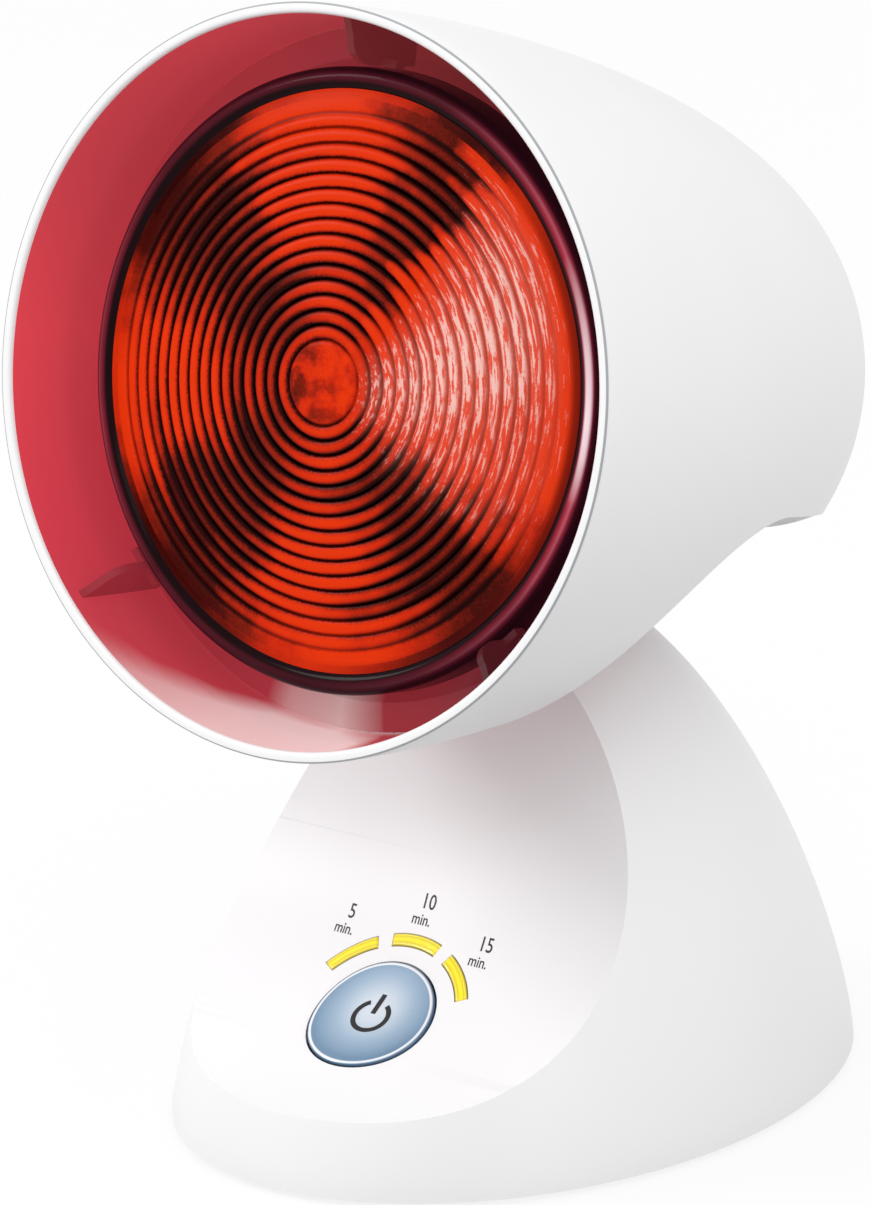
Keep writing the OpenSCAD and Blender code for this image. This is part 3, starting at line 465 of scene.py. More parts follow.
    # Painted shade: a near-black line in each ring's groove.
    line = add(tree, "ValToRGB", ring, stops=[(0.0, 0.10), (0.07, 0.12), (0.16, 1.0), (0.86, 1.0),
                                              (0.94, 0.12), (1.0, 0.10)])
    colour = add(tree, "Mix", 1.0, glow, add(tree, "Mix", ring_shade_strength, "#FFFFFF", line,
                                             data_type="RGBA"), data_type="RGBA", blend_type="MULTIPLY")
    # Painted shadow of the bulb's rim along the lens's edge, mostly on the right.
    rim_shadow_side = add(tree, "ValToRGB", turn, stops=[(0.0, 0.15), (0.10, 0.5), (0.20, 0.1), (0.58, 0.1),
                                                   (0.66, 0.85), (0.82, 1.0), (0.95, 0.5), (1.0, 0.15)])
    edge = add(tree, "ValToRGB", reach, stops=[(0.0, 0.0), (0.945, 0.0), (0.97, 0.8), (1.0, 1.0)])
    colour = add(tree, "Mix", add(tree, "Math", edge, rim_shadow_side, operation="MULTIPLY"), colour,
                 "#560E0A", data_type="RGBA")
    # Painted highlights: pale strokes where the crests on the right catch the room's light.
    along = add(tree, "CombineXYZ", add(tree, "Math", angle, 8, operation="MULTIPLY"),
                add(tree, "Math", radius, 0.55 * MM, operation="DIVIDE"))
    strokes = add(tree, "TexNoise", along, 1.0, 2.0, 0.5)
    sparkling = add(tree, "Math", strokes, add(tree, "Math", grit, 0.2, operation="MULTIPLY"),
                    operation="ADD")
    leaning = add(tree, "Math", turn, add(tree, "Math", radius, 1.8, operation="MULTIPLY"), operation="ADD")
    patch = add(tree, "ValToRGB", leaning, stops=[(0.0, 0.0), (0.665, 0.0), (0.70, 0.45), (0.73, 0.9),
                                                  (0.765, 1.0), (0.80, 0.9), (0.835, 0.55), (0.90, 0.3),
                                                  (0.93, 0.0), (1.0, 0.0)])
    across = add(tree, "ValToRGB", reach, stops=[(0.0, 0.0), (0.15, 0.0), (0.22, 0.6), (0.36, 0.85),
                                                 (0.50, 1.0), (0.80, 0.95), (0.91, 0.5), (0.96, 0.0),
                                                 (1.0, 0.0)])
    pale = add(tree, "Math", add(tree, "Math", patch, across, operation="MULTIPLY"),
               add(tree, "Math", lobes, 1.1, use_clamp=True, operation="MULTIPLY"), operation="MULTIPLY")
    speck = add(tree, "Math", sparkling, add(tree, "Math", pale, 0.2, operation="MULTIPLY"),
                operation="ADD")
    stroke = add(tree, "ValToRGB", speck, stops=[(0.0, 0.0), (0.60, 0.0), (0.70, 1.0), (1.0, 1.0)])
    colour = add(tree, "Mix", add(tree, "Math", pale, 0.22, operation="MULTIPLY"), colour, "#F8A08C",
                 data_type="RGBA")
    crest = add(tree, "ValToRGB", ring, stops=[(0.0, 0.0), (0.15, 0.0), (0.32, 1.0), (0.72, 1.0),
                                               (0.88, 0.15), (1.0, 0.0)])
    glitter = add(tree, "Math", add(tree, "Math", add(tree, "Math", pale, 0.6, operation="POWER"),
                                    crest, operation="MULTIPLY"), stroke, operation="MULTIPLY")
    colour = add(tree, "Mix", add(tree, "Math", glitter, 0.92, operation="MULTIPLY"), colour, "#FFD2C8",
                 data_type="RGBA")
    dimmed = add(tree, "Mix", 1.0, colour, (0.38, 0.38, 0.38, 1), data_type="RGBA", blend_type="MULTIPLY")
    bump = add(tree, "Bump", sockets={"Distance": 0.03 * MM, "Strength": 0.5, "Height": fine})
    end_material(tree, {"Roughness": 0.26, "IOR": 1.5, "Specular IOR Level": 0.03,
                        "Emission Strength": 0.56, "Base Color": dimmed, "Emission Color": colour,
                        "Normal": bump})
    return material


def lacquered_bowl():
    """The bulb's glass outside the lens: aubergine lacquer over pressed glass, with a near-black line
    at the lens. The light that gets through it is painted into its colour as a crimson band, broad
    on the right and faint on the left, with a pale streak of painted highlight on its crest."""
    material, tree, place_at = start_material("aubergine_lacquered_glass")
    local = in_frame(tree, place_at, HEAD)
    radius, _, turn, _ = polar(tree, local)
    out = add(tree, "Math", add(tree, "Math", radius, LENS_R * MM, operation="SUBTRACT"), RIM_BAND * MM,
              use_clamp=True, operation="DIVIDE")
    dark = add(tree, "ValToRGB", out, stops=[(0.0, "#140508"), (0.14, "#180608"), (0.32, "#3E101A"),
                                             (0.60, "#38101A"), (0.82, "#240A12"), (1.0, "#18060C")])
    # Painted light: the crimson band, mixed in by its share round the bowl, broad on the right.
    lit = add(tree, "ValToRGB", out, stops=[(0.0, "#140508"), (0.12, "#1A060A"), (0.26, "#8E2034"),
                                            (0.42, "#C23A4C"), (0.55, "#D0667A"), (0.66, "#A62C42"),
                                            (0.82, "#3C0F1C"), (1.0, "#260A14")])
    share = add(tree, "ValToRGB", turn, stops=[(0.0, 0.0), (0.12, 0.1), (0.20, 0.42), (0.27, 0.42),
                                               (0.36, 0.1), (0.55, 0.1), (0.63, 0.75), (0.70, 1.0),
                                               (0.79, 1.0), (0.86, 0.4), (0.93, 0.1), (1.0, 0.0)])
    streak = add(tree, "TexNoise", local, 1 / (7 * MM), 2.0)
    mottled = add(tree, "Mix", add(tree, "Math", streak, 0.35, operation="MULTIPLY"),
                  add(tree, "Mix", share, dark, lit, data_type="RGBA"), "#240A14", data_type="RGBA")
    # Painted highlight: a pale streak on the band's crest, on the right.
    crest = add(tree, "ValToRGB", out, stops=[(0.0, 0.0), (0.24, 0.0), (0.38, 1.0), (0.60, 1.0),
                                              (0.74, 0.0), (1.0, 0.0)])
    highlight_place = add(tree, "ValToRGB", turn, stops=[(0.0, 0.0), (0.66, 0.0), (0.71, 0.7), (0.745, 1.0),
                                                  (0.765, 0.8), (0.79, 0.0), (1.0, 0.0)])
    colour = add(tree, "Mix", add(tree, "Math", crest, highlight_place, operation="MULTIPLY"), mottled,
                 "#FFE6EC", data_type="RGBA")
    dimmed = add(tree, "Mix", 1.0, colour, (0.5, 0.5, 0.5, 1), data_type="RGBA", blend_type="MULTIPLY")
    end_material(tree, {"Roughness": 0.16, "IOR": 1.5, "Specular IOR Level": 0.05,
                        "Emission Strength": 0.55, "Base Color": dimmed, "Emission Color": colour})
    return material


def painted_button():
    """The button: a plastic cap in fine blue metallic paint. Painted shade leaves it pale in the middle
    and deeper towards the rim, a painted highlight makes a bright line just inside the edge, and
    its side is painted dark as shade."""
    material, tree, place_at = start_material("blue_metallic_paint")
    local = in_frame(tree, place_at, PANEL)
    at = add(tree, "SeparateXYZ", local).outputs
    across = add(tree, "Math", at[0], BUTTON_W / 2 * MM, operation="DIVIDE")
    up = add(tree, "Math", at[1], BUTTON_H / 2 * MM, operation="DIVIDE")
    reach = add(tree, "Math", add(tree, "Math", add(tree, "Math", across, across, operation="MULTIPLY"),
                                  add(tree, "Math", up, up, operation="MULTIPLY"), operation="ADD"),
                operation="SQRT")
    # Painted shade: pale a little above the middle, deeper towards the rim.
    up_high = add(tree, "Math", up, 0.15, operation="SUBTRACT")
    pool = add(tree, "Math", add(tree, "Math", add(tree, "Math", across, across, operation="MULTIPLY"),
                                 add(tree, "Math", up_high, up_high, operation="MULTIPLY"),
                                 operation="ADD"), operation="SQRT")
    shade = add(tree, "ValToRGB", pool, stops=[(0.0, "#E6EDF6"), (0.30, "#D2DFEC"), (0.62, "#A3BDD4"),
                                               (0.9, "#7F9FBC"), (1.0, "#6C8FAE")])
    flake = add(tree, "TexVoronoi", local, 1 / (0.18 * MM))
    sparkle = add(tree, "ValToRGB", flake, stops=[(0.0, 1.0), (1.0, 0.90)])
    painted = add(tree, "Mix", 1.0, shade, sparkle, data_type="RGBA", blend_type="MULTIPLY")
    # Painted highlight: a bright line just inside the edge.
    rim = add(tree, "ValToRGB", reach, stops=[(0.0, 0.0), (0.925, 0.0), (0.94, 1.0), (0.965, 1.0),
                                              (0.98, 0.0), (1.0, 0.0)])
    highlighted = add(tree, "Mix", rim, painted, "#F4F8FC", data_type="RGBA")
    # Painted shade: the button's side, darker at the edge.
    side = add(tree, "ValToRGB", reach, stops=[(0.0, 0.0), (0.978, 0.0), (0.99, 1.0), (1.0, 1.0)])
    colour = add(tree, "Mix", side, highlighted, "#3C5874", data_type="RGBA")
    end_material(tree, {"Roughness": 0.3, "Metallic": 0.15, "Coat Weight": 0.5, "Coat Roughness": 0.08,
                        "Base Color": colour})
    return material


def yellow_acrylic():
    """The light windows: clear yellow acrylic, lit from behind, with painted shade that turns it golden
    towards the edges, a paler line near them and a dark outline.
    """
    material, tree, place_at = start_material("yellow_acrylic_window")
    local = in_frame(tree, place_at, PANEL)
    radius = polar(tree, local)[0]
    off = add(tree, "Math", add(tree, "Math", add(tree, "Math", radius, LIGHT_R * MM,
                                                  operation="SUBTRACT"), LIGHT_W / 2 * MM,
                                operation="DIVIDE"), operation="ABSOLUTE")
    # Painted shade: darker gold towards each window's edges, with a paler line and a dark outline.
    shade = add(tree, "ValToRGB", off, stops=[(0.0, "#FFF000"), (0.25, "#F2E018"), (0.45, "#DCC41C"),
                                              (0.62, "#F6E94A"), (0.80, "#D8C42A"), (0.92, "#8F7F1E"),
                                              (1.0, "#5E5416")])
    cloud = add(tree, "TexNoise", local, 1 / (2 * MM), 1.0)
    colour = add(tree, "Mix", add(tree, "Math", cloud, 0.25, operation="MULTIPLY"), shade, "#E8D010",
                 data_type="RGBA")
    end_material(tree, {"Roughness": 0.12, "IOR": 1.49, "Coat Weight": 0.7, "Coat Roughness": 0.04,
                        "Emission Strength": 0.12, "Base Color": colour, "Emission Color": colour})
    return material


def printed_ink():
    """Pad-printed ink: flat near-black, thinner at the grain of the plastic under it."""
    return plain_moulded("black_pad_print", "#17181C", 0.5, 0.3, 0.002, 0.25)


def brushed(name, colour, roughness):
    """Rolled or turned metal: a metallic sheen with fine lines along one way, 2 mm apart."""
    material, tree, place_at = start_material(name)
    stretch = add(tree, "Mapping", sockets={"Vector": place_at, "Scale": (1, 1, 12)})
    lines = add(tree, "TexNoise", stretch, 1 / (2 * MM), 2.0)
    shade = add(tree, "Mix", lines, colour, "#8C8E92", data_type="RGBA")
    bump = add(tree, "Bump", sockets={"Distance": 0.01 * MM, "Strength": 0.6, "Height": lines})
    end_material(tree, {"Metallic": 1.0, "Roughness": roughness, "Base Color": shade, "Normal": bump})
    return material


WHITE = white_abs()
RED_LIT = red_lit_abs("red_lit_abs_wall", 1.0)
RED_SHADE = red_lit_abs("red_lit_abs_behind_bulb", 0.8)
RIB_SHADE = red_lit_abs("red_lit_abs_rib", 0.5)
# Painted shade: a thin grey line round the outer edge of the hood's lip, parting the white hood from the white
# backdrop.
LIP_EDGE = plain_moulded("grey_painted_lip_shade", "#A4A6A9", 0.5, 0.6, 0.003)
LENS = ringed_lens()
LACQUER = lacquered_bowl()
BUTTON_PAINT = painted_button()
WINDOW = yellow_acrylic()
INK = printed_ink()

# ---------------------------------------------------------------- the hood


def hood_wall_line():
    """The closed side line of the hood's wall, from the lip back along the outside and home inside."""
    face_in = HOOD_R - HOOD_WALL
    step = 0.3
    points = [(face_in, -0.9), (face_in + 0.12, -0.4), (face_in + 0.45, -0.08), (face_in + 0.9, 0),
              (HOOD_R - 0.35, 0), (HOOD_R - 0.1, -0.1), (HOOD_R, -0.35), (HOOD_R - step, -0.5),
              (HOOD_R - step, -0.8)]
    outer = [(hood_line(HOOD_LEN * math.sin(a), HOOD_R, HOOD_LEN), -HOOD_LEN * math.sin(a))
             for a in steps(0, math.pi / 2, 84)]
    inner_r = HOOD_R - HOOD_WALL
    inner_len = HOOD_LEN - HOOD_WALL
    inner = [(hood_line(inner_len * math.sin(a), inner_r, inner_len), -inner_len * math.sin(a))
             for a in steps(math.pi / 2, 0, 84)]
    return (points + [p for p in outer if p[1] < -0.95] + [p for p in inner if p[1] < -1.2]
            + [points[0]])


def arch_outline():
    """The arch over the stand, seen from the side about the hinge: x forward, y up."""
    low = -150
    rise = ARCH_R - ARCH_REAR_R - ARCH_DROP
    gap = math.hypot(ARCH_REAR, rise)
    tangent = (math.pi - math.atan2(rise, ARCH_REAR)) - math.acos((ARCH_R - ARCH_REAR_R) / gap)
    front = [(ARCH_R * math.cos(a), ARCH_R * math.sin(a)) for a in steps(0, tangent, 48)]
    rear = [(-ARCH_REAR + ARCH_REAR_R * math.cos(a), rise + ARCH_REAR_R * math.sin(a))
            for a in steps(tangent, math.pi, 32)]
    return [(ARCH_R, low)] + front + rear + [(-ARCH_REAR - ARCH_REAR_R, low)]


def build_hood():
    shell = place(lathe("hood_shell", hood_wall_line(), 256), HEAD)
    width = 4 * HOOD_R
    cutter = slab("arch_cutter", arch_outline(), width)
    sideways = Matrix.Rotation(-math.pi / 2, 4, "Y") @ Matrix.Translation((0, 0, -width / 2 * MM))
    carve(shell, place(cutter, AT_HINGE @ sideways))
    soften_edges(shell, 0.45)
    smooth(shell)
    finish_piece(shell, "head", WHITE, "white_shell", "hood")
    shell.data.materials.append(RED_LIT)
    shell.data.materials.append(LIP_EDGE)
    inward = HEAD.inverted()
    for face in shell.data.polygons:
        at = inward @ face.center
        reach = math.hypot(at.x, at.y)
        behind = -at.z / MM
        wall = hood_line(min(max(behind, 0), HOOD_LEN), HOOD_R, HOOD_LEN)
        # The lip's outer edge takes the painted grey line of shade.
        if behind < 0.9 and reach > (HOOD_R - 0.38) * MM:
            face.material_index = 2
        elif 1.4 < behind < SHROUD_FRONT + 3 and reach < (wall - 0.6 * HOOD_WALL) * MM:
            face.material_index = 1
    return shell


build_hood()


def build_ribs():
    """Three ribs that centre the bulb's rim, each with a short curved shoe beside the glass."""
    inner = BULB_R + 0.6
    nose = [(inner + 5 * (1 - math.sin(a)), -6 - 7 * (1 - math.cos(a))) for a in steps(0, math.pi / 2, 10)]
    wall = [(hood_line(s, HOOD_R, HOOD_LEN) - HOOD_WALL / 2, -s) for s in steps(SHROUD_FRONT, 3.5, 8)]
    rib = slab("rim_rib", nose + [(inner, -SHROUD_FRONT)] + wall, RIB_T)
    place(rib, Matrix.Rotation(math.pi / 2, 4, "Z") @ Matrix.Rotation(math.pi / 2, 4, "X")
          @ Matrix.Translation((0, 0, -RIB_T / 2 * MM)))
    half = math.radians(4)
    shoe_t = 1.4
    shoe_line = ([((inner + shoe_t) * math.sin(a), (inner + shoe_t) * math.cos(a)) for a in steps(-half,
            half, 8)] + [(inner * math.sin(a), inner * math.cos(a)) for a in steps(half, -half, 8)])
    shoe = place(slab("rib_shoe", shoe_line, 3), Matrix.Translation((0, 0, -(LENS_EDGE + 4) * MM)))
    carve(rib, shoe, "UNION")
    soften_edges(rib, 0.35, 2)
    for name, turn in (("rib_top", 0), ("rib_right", -RIB_ANGLE), ("rib_left", RIB_ANGLE)):
        piece = place(copy_of(rib, name), HEAD @ Matrix.Rotation(turn, 4, "Z"))
        smooth(piece)
        finish_piece(piece, "head", RIB_SHADE, "white_shell", "hood")
    bpy.data.objects.remove(rib)


build_ribs()

# ---------------------------------------------------------------- the bulb


def build_lens():
    """The lens: rings pressed into a shallow crown, each a broad roll with a narrow groove."""
    depth = 0.7
    # places across a ring, each with the share of the groove's depth that it lies down
    ring_shape = ((0.0, 1.0), (0.08, 0.55), (0.2, 0.16), (0.4, 0.0), (0.6, 0.0), (0.8, 0.16), (0.92, 0.55))
    ring_points = []
    for index in range(RINGS):
        for part, drop in ring_shape:
            radius = LENS_EYE + RING_PITCH * (index + part)
            ring_points.append((radius, -(LENS_EDGE - lens_line(radius)) - depth * drop))
    last = LENS_EYE + RING_PITCH * RINGS
    middle = [(r, -(LENS_EDGE - lens_line(r)) - 0.25 * depth) for r in steps(0, LENS_EYE - 0.4, 8)]
    border = [(r, -(LENS_EDGE - lens_line(r)) - 0.3 * depth) for r in steps(last + 0.3, LENS_R - 0.4, 4)]
    back = [(r, -(LENS_EDGE + GLASS - lens_line(r))) for r in steps(LENS_R, 0, 16)]
    lens = place(lathe("ringed_lens", middle + ring_points + border + [(LENS_R, -LENS_EDGE)] + back,
                       192), HEAD)
    smooth(lens, 75)
    finish_piece(lens, "head", LENS, "lens_glass", "bulb_lens")


def build_bowl():
    """The glass behind the lens: a rounded rim, the reflector's bowl and the neck, in one wall."""
    rim_r = 2.4
    rim = [(BULB_R - rim_r + rim_r * math.sin(a), -(LENS_EDGE + 1.4 - rim_r * math.cos(a) + rim_r - 2.2))
           for a in steps(-0.9, math.pi / 2, 14)]
    outside = [(bowl_line(s), -s) for s in steps(RIM_END, NECK_END, 40)]
    neck = [(CAP_R - 0.8, -CAP_START), (CAP_R - 0.8, -CAP_START - 6),
            (CAP_R - 0.8 - GLASS, -CAP_START - 6), (CAP_R - 0.8 - GLASS, -CAP_START + 1)]
    inside = [(bowl_line(s) - GLASS, -s) for s in steps(NECK_END - 1, RIM_END, 40)]
    seat = [(BULB_R - GLASS - 0.6, -(RIM_END - 2)), (LENS_R - 0.4, -(LENS_EDGE + GLASS + 0.4)),
            (LENS_R, -LENS_EDGE)]
    bowl = place(lathe("reflector_bowl", [(LENS_R, -LENS_EDGE)] + rim + outside + neck + inside + seat,
                       192), HEAD)
    smooth(bowl, 50)
    finish_piece(bowl, "head", LACQUER, "reflector_glass", "bulb_reflector")


build_lens()
build_bowl()

# ---------------------------------------------------------------- the stand


def dome(name, wall, half_depth, top, count):
    """A solid dome on an elliptical plan, its side line drawn in by wall."""
    below = 0 if wall == 0 else -6
    heights = [top * math.sin(a) for a in steps(0, math.pi / 2, count)]
    line = [(0, below), (STAND_HALF_W - wall, below)]
    line += [(stand_line(z) - wall, z) for z in heights]
    line += [(0, top)]
    form = lathe(name, line, 288)
    bpy.ops.object.mode_set(mode="EDIT")
    bpy.ops.mesh.select_all(action="SELECT")
    bpy.ops.transform.resize(value=(1, half_depth / (STAND_HALF_W - wall), 1), center_override=(0, 0, 0))
    bpy.ops.object.mode_set(mode="OBJECT")
    return place(form, STAND)


def scoop_cutter(extra):
    """The round bar along X that hollows the front."""
    bpy.ops.object.select_all(action="DESELECT")
    bpy.ops.mesh.primitive_cylinder_add(vertices=720, radius=(SCOOP_R + extra) * MM, depth=0.4,
                                        rotation=(0, math.pi / 2, 0))
    return place(named(bpy.context.object, "scoop_cutter"), SCOOP)


def arc_outline(radius, width, span, at, count=16):
    half = span / 2
    outer = [((radius + width / 2) * math.sin(at + a), (radius + width / 2) * math.cos(at + a))
             for a in steps(-half, half, count)]
    inner = [((radius - width / 2) * math.sin(at + a), (radius - width / 2) * math.cos(at + a))
             for a in steps(half, -half, count)]
    return outer + inner


def oval_outline(width, height, count=96):
    return [(width / 2 * math.cos(a), height / 2 * math.sin(a)) for a in steps(0, 2 * math.pi, count)[:-1]]


def in_panel(piece, low):
    return place(piece, PANEL @ Matrix.Translation((0, 0, low * MM)))


def hollow_rise(y):
    """How far the panel's hollow has risen over its middle, y metres up the panel."""
    return SCOOP_R * MM - math.sqrt((SCOOP_R * MM) ** 2 - y ** 2)


def build_stand():
    shell = dome("stand_shell", 0, STAND_HALF_D, DOME_OPEN_H, 72)
    hollow = dome("stand_hollow", STAND_WALL, STAND_HALF_D - STAND_WALL * STAND_DEPTH_RATIO,
                  DOME_OPEN_H + 4, 48)
    carve(hollow, scoop_cutter(STAND_WALL))
    carve(shell, scoop_cutter(0))
    carve(shell, hollow)
    carve(shell, in_panel(slab("button_hole", oval_outline(BUTTON_W + 2 * MOVE_GAP,
                                                           BUTTON_H + 2 * MOVE_GAP), 16), -8))
    for index in (-1, 0, 1):
        outline = arc_outline(LIGHT_R, LIGHT_W + 0.2, LIGHT_SPAN + math.radians(0.6), index * LIGHT_STEP)
        carve(shell, in_panel(slab("window_hole", outline, 16), -8))
    soften_edges(shell, 0.35)
    smooth(shell, 30)
    finish_piece(shell, "stand", WHITE, "white_shell", "stand_housing")


build_stand()


def build_button():
    """The button's cap: an oval with a rolled edge that follows the hollow, on its flange and stem."""
    half = BUTTON_H / 2
    edge = 0.7
    face = [(r, BUTTON_RISE) for r in steps(0, half - edge, 14)]
    roll = [(half - edge + edge * math.sin(a), BUTTON_RISE - edge + edge * math.cos(a))
            for a in steps(0.15, math.pi / 2, 8)]
    flange_r, flange_top, flange_low = half + 1.8, -2.9, -4.1
    stem_r, stem_low = 3, -6.2
    under = [(half, flange_top), (flange_r, flange_top), (flange_r, flange_low), (stem_r, flange_low),
             (stem_r, stem_low), (0, stem_low)]
    cap = lathe("button_cap", face + roll + under, 160)
    bpy.ops.object.mode_set(mode="EDIT")
    bpy.ops.mesh.select_all(action="SELECT")
    bpy.ops.transform.resize(value=(BUTTON_W / BUTTON_H, 1, 1), center_override=(0, 0, 0))
    bpy.ops.object.mode_set(mode="OBJECT")
    for vertex in cap.data.vertices:
        if vertex.co.z > -1 * MM:
            vertex.co.z += hollow_rise(vertex.co.y)
    place(cap, PANEL)
    smooth(cap, 40)
    finish_piece(cap, "button", BUTTON_PAINT, "button_blue", "timer_button")


build_button()


def build_windows():
    """Three acrylic windows: they follow the hollow, a little proud of it, with rounded edges."""
    foot = 6.4
    proud = 0.22
    for name, node, index in (("window_5", "light_guide_5", -1), ("window_10", "light_guide_10", 0),
                              ("window_15", "light_guide_15", 1)):
        pane = slab(name, arc_outline(LIGHT_R, LIGHT_W, LIGHT_SPAN, index * LIGHT_STEP), foot + proud)
        for vertex in pane.data.vertices:
            if vertex.co.z > MM:
                vertex.co.z += hollow_rise(vertex.co.y)
        in_panel(pane, -foot)
        soften_edges(pane, 0.45, 3)
        smooth(pane, 50)
        finish_piece(pane, "stand", WINDOW, "light_window", node)


build_windows()

# ---------------------------------------------------------------- print on the panel and the button


def lay_on_scoop(piece, lift):
    """Lays a flat piece, drawn in the panel's plane, on the hollow panel's curve."""
    for vertex in piece.data.vertices:
        along = vertex.co.y / (SCOOP_R * MM)
        radius = (SCOOP_R - lift) * MM - vertex.co.z
        vertex.co.y = radius * math.sin(along)
        vertex.co.z = SCOOP_R * MM - radius * math.cos(along)
    return place(piece, PANEL)


def write(name, words, height, x, y, stretch=0.78):
    """Plain figures in the built-in face, drawn narrow, as a thin layer of ink."""
    bpy.ops.object.select_all(action="DESELECT")
    bpy.ops.object.text_add(location=(0, 0, 0))
    text = bpy.context.object
    text.data.body = words
    text.data.align_x = "CENTER"
    text.data.align_y = "CENTER"
    text.data.size = height * 1.38 * MM
    text.data.extrude = 0.01 * MM
    text.data.resolution_u = 6
    text.data.offset = 0.03 * MM
    text.data.shear = -0.2
    bpy.ops.object.convert(target="MESH")
    text = named(bpy.context.object, name)
    text.scale = (stretch, 1, 1)
    text.location = (x * MM, y * MM, 0)
    bpy.ops.object.transform_apply(location=True, rotation=True, scale=True)
    bpy.ops.object.mode_set(mode="EDIT")
    bpy.ops.mesh.select_all(action="SELECT")
    bpy.ops.mesh.remove_doubles(threshold=0.002 * MM)
    bpy.ops.mesh.subdivide(number_cuts=1)
    bpy.ops.object.mode_set(mode="OBJECT")
    lay_on_scoop(text, 0.03)
    return finish_piece(text, "stand", INK, "switch_black")


for minutes, x, y in (("5", -17.5, 22.0), ("10", -0.9, 27.7), ("15", 16.1, 21.9)):
    write("figure_" + minutes, minutes, 3.3, x, y)
    write("unit_" + minutes, "min.", 2.5, x - 0.2, y - 3.9)


def build_power_mark():
    """The plain on and off mark: an open ring with a bar through its gap."""
    ring_r = 3.75
    line_w = 1.05
    ink_t = 0.05
    bar_low, bar_high = 0.7, 5.7
    opening = math.radians(32)
    ring = slab("power_ring", arc_outline(ring_r, line_w, 2 * math.pi - 2 * opening, math.pi, 48), ink_t)
    bar = slab("power_bar", [(-line_w / 2, bar_low), (line_w / 2, bar_low), (line_w / 2, bar_high),
                             (-line_w / 2, bar_high)], ink_t)
    mark = join([ring, bar], "power_mark")
    for vertex in mark.data.vertices:
        vertex.co.z += (BUTTON_RISE + 0.01) * MM + hollow_rise(vertex.co.y)
    place(mark, PANEL)
    finish_piece(mark, "button", INK, "switch_black")


build_power_mark()

# ---------------------------------------------------------------- finishes of the frame's own pieces

STEEL = brushed("zinc_plated_steel", "#B9BCC2", 0.34)
BRASS = brushed("stamped_brass", "#C9A458", 0.32)
ALUMINIUM = brushed("rolled_aluminium", "#D2D3D4", 0.3)
TUNGSTEN = brushed("drawn_tungsten", "#9A948C", 0.4)
CERAMIC = plain_moulded("steatite_ceramic", "#E9E2D2", 0.62, 0.35, 0.02, 0.05)
ACETAL = plain_moulded("natural_acetal", "#E6DEC4", 0.45, 0.6, 0.005)
FIBRE = plain_moulded("pressed_fibre", "#4A4038", 0.8, 0.3, 0.03, 0.2)
RUBBER = plain_moulded("black_rubber", "#1E1F21", 0.75, 0.25, 0.02, 0.15)
BLACK = plain_moulded("black_nylon", "#141416", 0.5, 0.4, 0.01, 0.1)
BOARD = plain_moulded("solder_mask_board", "#14522E", 0.35, 0.5, 0.01, 0.2)
RELAY_BLUE = plain_moulded("blue_pbt", "#22468A", 0.4, 0.5, 0.006)
CAPACITOR = plain_moulded("yellow_epoxy_box", "#D8A828", 0.4, 0.5, 0.006)
TERMINAL = plain_moulded("green_polyamide", "#2E7A44", 0.5, 0.5, 0.008)
CLEAR = plain_moulded("clear_epoxy_and_glass", "#E8E4D0", 0.12, 0.6, 0.002, 0.03, **{"IOR": 1.5})

FINISHES = {
    "white_shell": WHITE, "white_shroud": RED_SHADE, "steel": STEEL, "cap_metal": ALUMINIUM,
    "contact_brass": BRASS, "black_insulator": BLACK, "ceramic": CERAMIC, "filament": TUNGSTEN,
    "bearing_plastic": ACETAL, "fibre": FIBRE, "rubber": RUBBER, "switch_black": BLACK,
    "board": BOARD, "relay_blue": RELAY_BLUE, "capacitor_yellow": CAPACITOR,
    "terminal_green": TERMINAL, "led_epoxy": CLEAR, "fuse_glass": CLEAR,
    "lens_glass": LENS, "reflector_glass": LACQUER, "button_blue": BUTTON_PAINT,
    "light_window": WINDOW,
}
slot_of = {part["node"]: part["material_slot"] for part in frame["record"]["subparts"]}
for name, node in frame["nodes"].items():
    node.data.materials.clear()
    node.data.materials.append(FINISHES[slot_of[name]])

# ---------------------------------------------------------------- floor, light and camera


def build_floor():
    """White paper. It shows white to the camera and in reflections and keeps the lamp's shadow, and
    it throws back less light than it gets, so that the lamp isn't lit from below."""
    paper_white, paper_bounce = (0.9, 0.9, 0.9, 1), (0.42, 0.42, 0.42, 1)
    own_white = 0.86
    bpy.ops.object.select_all(action="DESELECT")
    bpy.ops.mesh.primitive_plane_add(size=6, location=(0, 0, 0))
    floor = named(bpy.context.object, "floor")
    material = bpy.data.materials.new("white_paper")
    material.use_nodes = True
    tree = material.node_tree
    tree.nodes.clear()
    ray = add(tree, "LightPath").outputs
    bounce = add(tree, "Mix", ray["Is Diffuse Ray"], paper_white, paper_bounce, data_type="RGBA")
    paper = add(tree, "BsdfDiffuse", bounce)
    white = add(tree, "Emission", (1, 1, 1, 1), 1.0)
    mirrored = add(tree, "Math", ray["Is Glossy Ray"], ray["Is Transmission Ray"], operation="MAXIMUM")
    seen = add(tree, "Math", ray["Is Camera Ray"], mirrored, operation="MAXIMUM")
    share = add(tree, "Math", seen, own_white, operation="MULTIPLY")
    add(tree, "OutputMaterial", add(tree, "MixShader", share, paper, white))
    floor.data.materials.append(material)


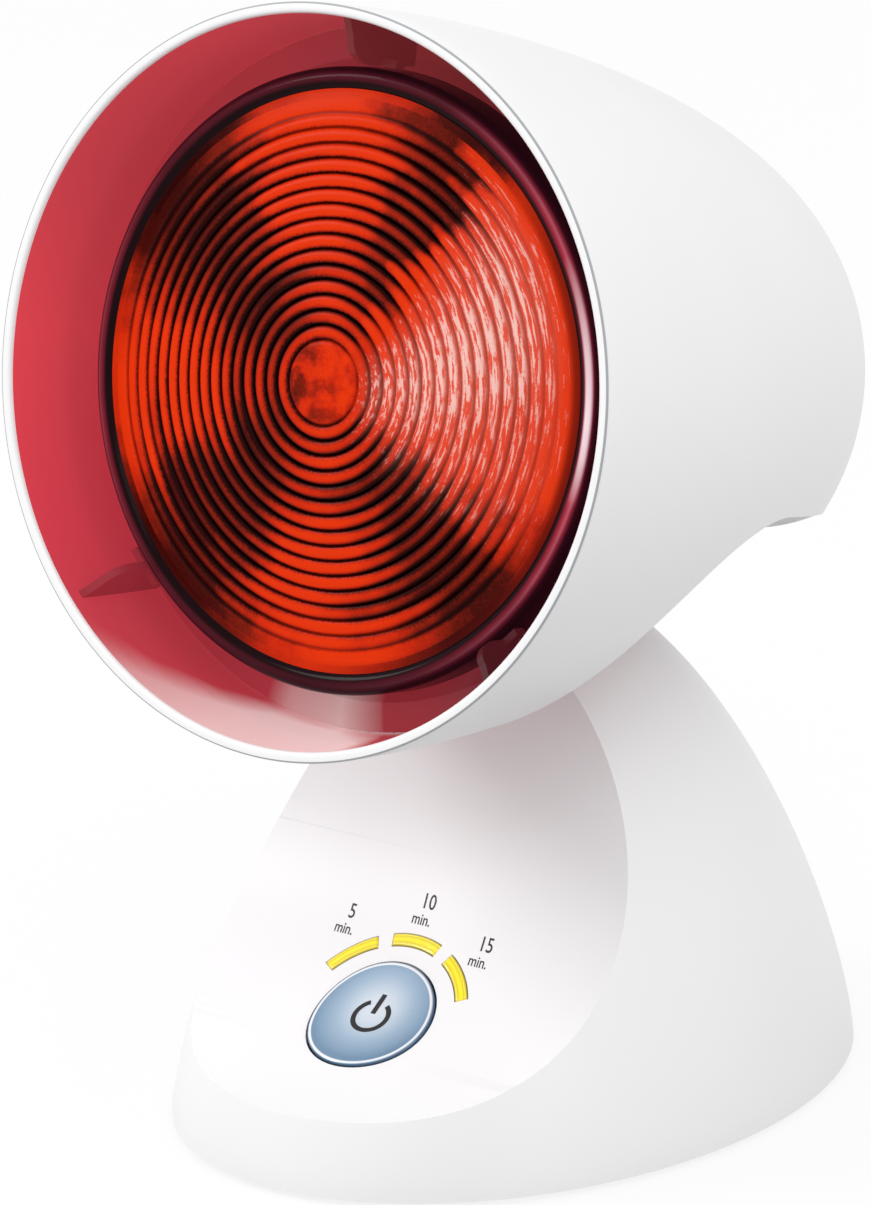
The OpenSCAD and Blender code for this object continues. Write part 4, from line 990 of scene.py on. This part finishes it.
def build_world():
    """A pale studio: even light from all round, and plain white where the camera looks past it."""
    even_light = 0.88
    world = bpy.data.worlds.new("studio")
    bpy.context.scene.world = world
    world.use_nodes = True
    tree = world.node_tree
    tree.nodes.clear()
    soft = add(tree, "Background", (1, 1, 1, 1), even_light)
    white = add(tree, "Background", (1, 1, 1, 1), 1.0)
    ray = add(tree, "LightPath").outputs
    seen = add(tree, "Math", ray["Is Camera Ray"], ray["Is Transmission Ray"], operation="MAXIMUM")
    add(tree, "OutputWorld", add(tree, "MixShader", seen, soft, white))


def softbox(name, at, toward, width, height, watts):
    """A plain rectangular studio light, sizes and places in metres."""
    light = bpy.data.lights.new(name, "AREA")
    light.shape = "RECTANGLE"
    light.size = width
    light.size_y = height
    light.energy = watts
    lamp = bpy.data.objects.new(name, light)
    bpy.context.scene.collection.objects.link(lamp)
    lamp.location = at
    lamp.rotation_euler = (Vector(toward) - Vector(at)).to_track_quat("-Z", "Y").to_euler()


def build_camera():
    """The camera of the photograph: its turn, height and distance were fitted to the lamp's outline."""
    azimuth = math.radians(36.9)
    elevation = math.radians(16.7)
    distance = 1.300
    focal_px = 6709.3
    frame_h_px = 1205
    right = Vector((math.cos(azimuth), math.sin(azimuth), 0))
    back = Vector((math.sin(azimuth) * math.cos(elevation), -math.cos(azimuth) * math.cos(elevation),
                   math.sin(elevation)))
    target = Vector((0, -0.060, 0.1136)) + right * 0.0191 + Vector((0, HINGE.y, FOOT_STAND * MM))
    data = bpy.data.cameras.new("camera")
    data.sensor_fit = "VERTICAL"
    data.sensor_height = 24
    data.lens = data.sensor_height * focal_px / frame_h_px
    data.clip_end = 20
    camera = bpy.data.objects.new("camera", data)
    bpy.context.scene.collection.objects.link(camera)
    turned = Matrix((right, back.cross(right), back)).transposed().to_4x4()
    camera.matrix_world = Matrix.Translation(target + back * distance) @ turned
    bpy.context.scene.camera = camera


build_floor()
build_world()
softbox("key_left_above", (-0.95, -0.75, 0.85), (0, -0.02, 0.10), 0.45, 0.45, 6.6)
softbox("front_above", (0.75, -1.10, 1.20), (0, 0, 0.12), 0.9, 0.7, 3.8)
softbox("right", (1.35, -0.25, 0.55), (0, -0.02, 0.11), 0.5, 0.9, 2.8)
build_camera()
bpy.context.scene.view_settings.view_transform = "Standard"
